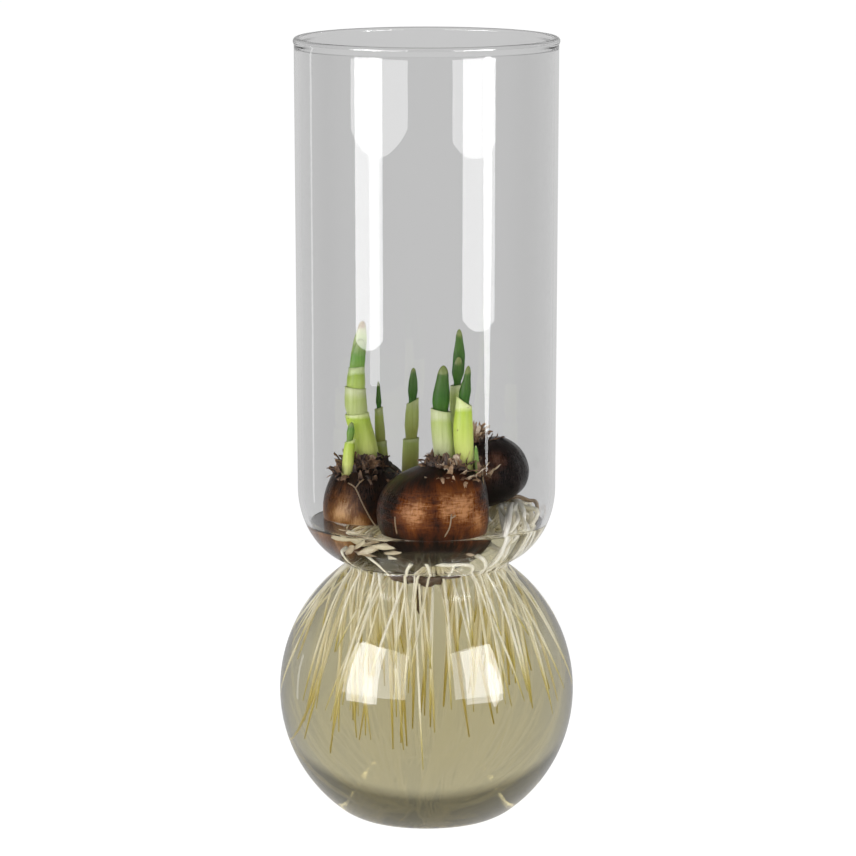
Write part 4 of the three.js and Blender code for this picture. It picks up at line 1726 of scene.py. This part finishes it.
VEIN = (0.62, 0.68, 0.36)
PALE = Blade(stops=((0.0, (0.44, 0.44, 0.16)), (0.35, (0.66, 0.74, 0.2)), (0.7, (0.55, 0.68, 0.11)),
                    (0.93, (0.46, 0.62, 0.06)), (0.965, (0.6, 0.72, 0.2)), (1.0, (0.72, 0.8, 0.36))),
             vein=VEIN, flecks=0.8)
CREAM = Blade(stops=((0.0, (0.6, 0.6, 0.4)), (0.4, (0.62, 0.66, 0.36)), (0.9, (0.46, 0.55, 0.17)),
                     (1.0, (0.58, 0.63, 0.34))), vein=VEIN)
LIME = Blade(stops=((0.0, (0.62, 0.64, 0.36)), (0.5, (0.58, 0.62, 0.28)), (0.86, (0.4, 0.53, 0.1)),
                    (0.96, (0.3, 0.43, 0.05)), (1.0, (0.5, 0.6, 0.28))), vein=VEIN)
OLIVE = Blade(stops=((0.0, (0.2, 0.17, 0.05)), (0.5, (0.3, 0.32, 0.07)), (0.9, (0.36, 0.43, 0.1)),
                     (1.0, (0.4, 0.45, 0.18))), vein=VEIN)
GREEN = Blade(stops=((0.0, (0.2, 0.28, 0.07)), (0.45, (0.08, 0.19, 0.015)), (0.75, (0.032, 0.125, 0.006)),
                     (0.97, (0.06, 0.14, 0.015)), (1.0, (0.2, 0.24, 0.07))), vein=(0.6, 0.75, 0.4), veins=0.5,
              coat=0.12)
FRESH = Blade(stops=((0.0, (0.3, 0.38, 0.12)), (0.76, (0.2, 0.34, 0.06)), (0.9, (0.13, 0.29, 0.04)),
                     (1.0, (0.3, 0.36, 0.14))), vein=(0.6, 0.75, 0.4), veins=0.5, coat=0.12)
BLEACHED = Blade(stops=((0.0, (0.35, 0.42, 0.14)), (0.8, (0.26, 0.38, 0.09)), (0.92, (0.42, 0.5, 0.22)),
                        (0.975, (0.44, 0.46, 0.26)), (1.0, (0.3, 0.2, 0.1))), vein=(0.7, 0.78, 0.5))

SHOOTS = (
    Shoot("left_tall",
          ((166, -26.8, 9.5), (180, -29.6, 9.8), (192.6, -33.4, 10), (204, -33.8, 10), (214, -33.4, 10),
           (226, -31.6, 10), (236, -30.3, 10)),
          (Sheath("outer_sheath", ((168, 5.7), (185, 5.9), (190, 5.85), (193, 5.65)), 0.6, PALE),
           Sheath("middle_sheath", ((168, 4.4), (190, 4.9), (195, 5.4), (200, 5.25), (204.2, 5.0)),
                   -0.5, CREAM),
           Sheath("inner_sheath", ((168, 3.4), (201, 3.9), (205.5, 4.6), (210, 4.25), (213.9, 3.85)),
                   0.4, LIME)),
          (Leaf("front_leaf", ((168, 1.8), (211, 2.6), (214.5, 3.65), (218, 3.6), (222, 2.9), (227.5, 0)),
                 0.5, -1.3, FRESH),
           Leaf("back_leaf", ((168, 1.8), (211, 2.6), (215, 3.4), (220, 3.6), (227, 3.1), (232, 2.0), (235.6, 0)),
                 0.5, 0.6,
                BLEACHED))),
    Shoot("left_small", ((164, -37.6, 1), (175, -37, 1), (190, -35.3, 1)),
          (Sheath("sheath", ((165, 2.9), (176, 2.7), (181.5, 2.45)), 0.8, PALE),),
          (Leaf("leaf", ((165, 1.4), (182, 1.5), (184.5, 1.9), (189.8, 0)), 0.9, 0, FRESH),)),
    Shoot("left_thin", ((165, -20.9, 17), (176, -21.9, 17), (193, -22.9, 17), (206, -23.1, 17)),
          (Sheath("outer_sheath", ((166, 3.3), (176, 3.0), (177.5, 2.95)), 0.3, OLIVE),
           Sheath("inner_sheath", ((166, 2.3), (176, 2.35), (182, 2.5), (193.2, 1.9)), 0.6, OLIVE)),
          (Leaf("leaf", ((166, 1.0), (193.8, 1.0), (196, 1.4), (202, 0.9), (206, 0)), 0.9, 0, GREEN),)),
    Shoot("rear", ((158, -8, 39.5), (176, -7.5, 39.5), (194, -6.8, 39.5), (210, -6.3, 39.5)),
          (Sheath("outer_sheath", ((158, 4.1), (170, 4.0), (176.4, 3.85)), 0.4, OLIVE),
           Sheath("inner_sheath", ((158, 2.6), (177, 2.75), (182, 3.4), (188, 3.3), (194.2, 2.9)),
                   1.6, OLIVE)),
          (Leaf("leaf", ((158, 1.7), (195, 1.8), (199, 2.4), (204, 2.1), (208, 1.3), (210.3, 0)),
                 0.8, 0, GREEN),)),
    Shoot("front_left", ((172, 9, -28.5), (184, 7.8, -29), (198, 6.7, -29), (209, 7.4, -29), (219, 8.3, -29)),
          (Sheath("sheath", ((172, 4.6), (184, 5.1), (190, 5.1), (198, 4.7)), -0.9, CREAM),),
          (Leaf("leaf", ((172, 3.0), (198, 3.5), (202, 4.1), (206, 3.9), (213, 2.8), (219, 0)),
                 0.75, 0, GREEN),)),
    Shoot("front_tall", ((170, 16.2, -19.5), (186, 15.2, -19.5), (200, 14.2, -20), (211, 14.2, -20),
                         (224, 15.2, -20), (236, 15.1, -20)),
          (Sheath("sheath", ((171, 3.9), (190, 3.7), (204, 3.3), (210.5, 3.05)), 0.5, CREAM),),
          (Leaf("front_leaf", ((171, 1.5), (211, 1.6), (214, 2.4), (218, 2.0), (223, 0)), 0.32, -1.1, GREEN),
           Leaf("back_leaf", ((171, 1.5), (211, 1.6), (215, 2.9), (224, 2.8), (231, 1.7), (236, 0)),
                 0.32, 1.1,
                GREEN))),
    Shoot("front_right", ((170, 18.4, -32.5), (182, 17.3, -33), (194, 16.9, -33), (206, 17.7, -33),
                          (220, 19.8, -33)),
          (Sheath("sheath", ((170, 3.9), (182, 4.6), (191, 4.65), (200, 3.9), (203.5, 3.5)), -2.4, PALE),),
          (Leaf("leaf", ((170, 2.4), (190, 2.9), (203, 2.4), (208, 2.8), (214, 1.7), (220, 0)),
                 0.8, 0, GREEN),)),
    Shoot("front", ((172, 23.4, -35.4), (186, 22.7, -35.8)), (),
          (Leaf("sprout", ((172, 0.9), (178, 1.15), (182, 0.8), (185, 0)), 0.8, 0, FRESH),)),
)


def main() -> None:
    """Builds the vase and all it holds, then the studio."""
    logging.basicConfig(level=logging.INFO, format="%(name)s %(message)s")
    vase = Vase()
    vase.build()
    for bulb in BULBS:
        bulb.build()
    for shoot in SHOOTS:
        shoot.build()
    Roots(vase, {"front": FRONT_NOSE, "left": LEFT_NOSE, "right": RIGHT_NOSE, "rear": REAR_NOSE}).build()
    Debris().build()
    Studio().build()


if __name__ == "__main__":
    main()
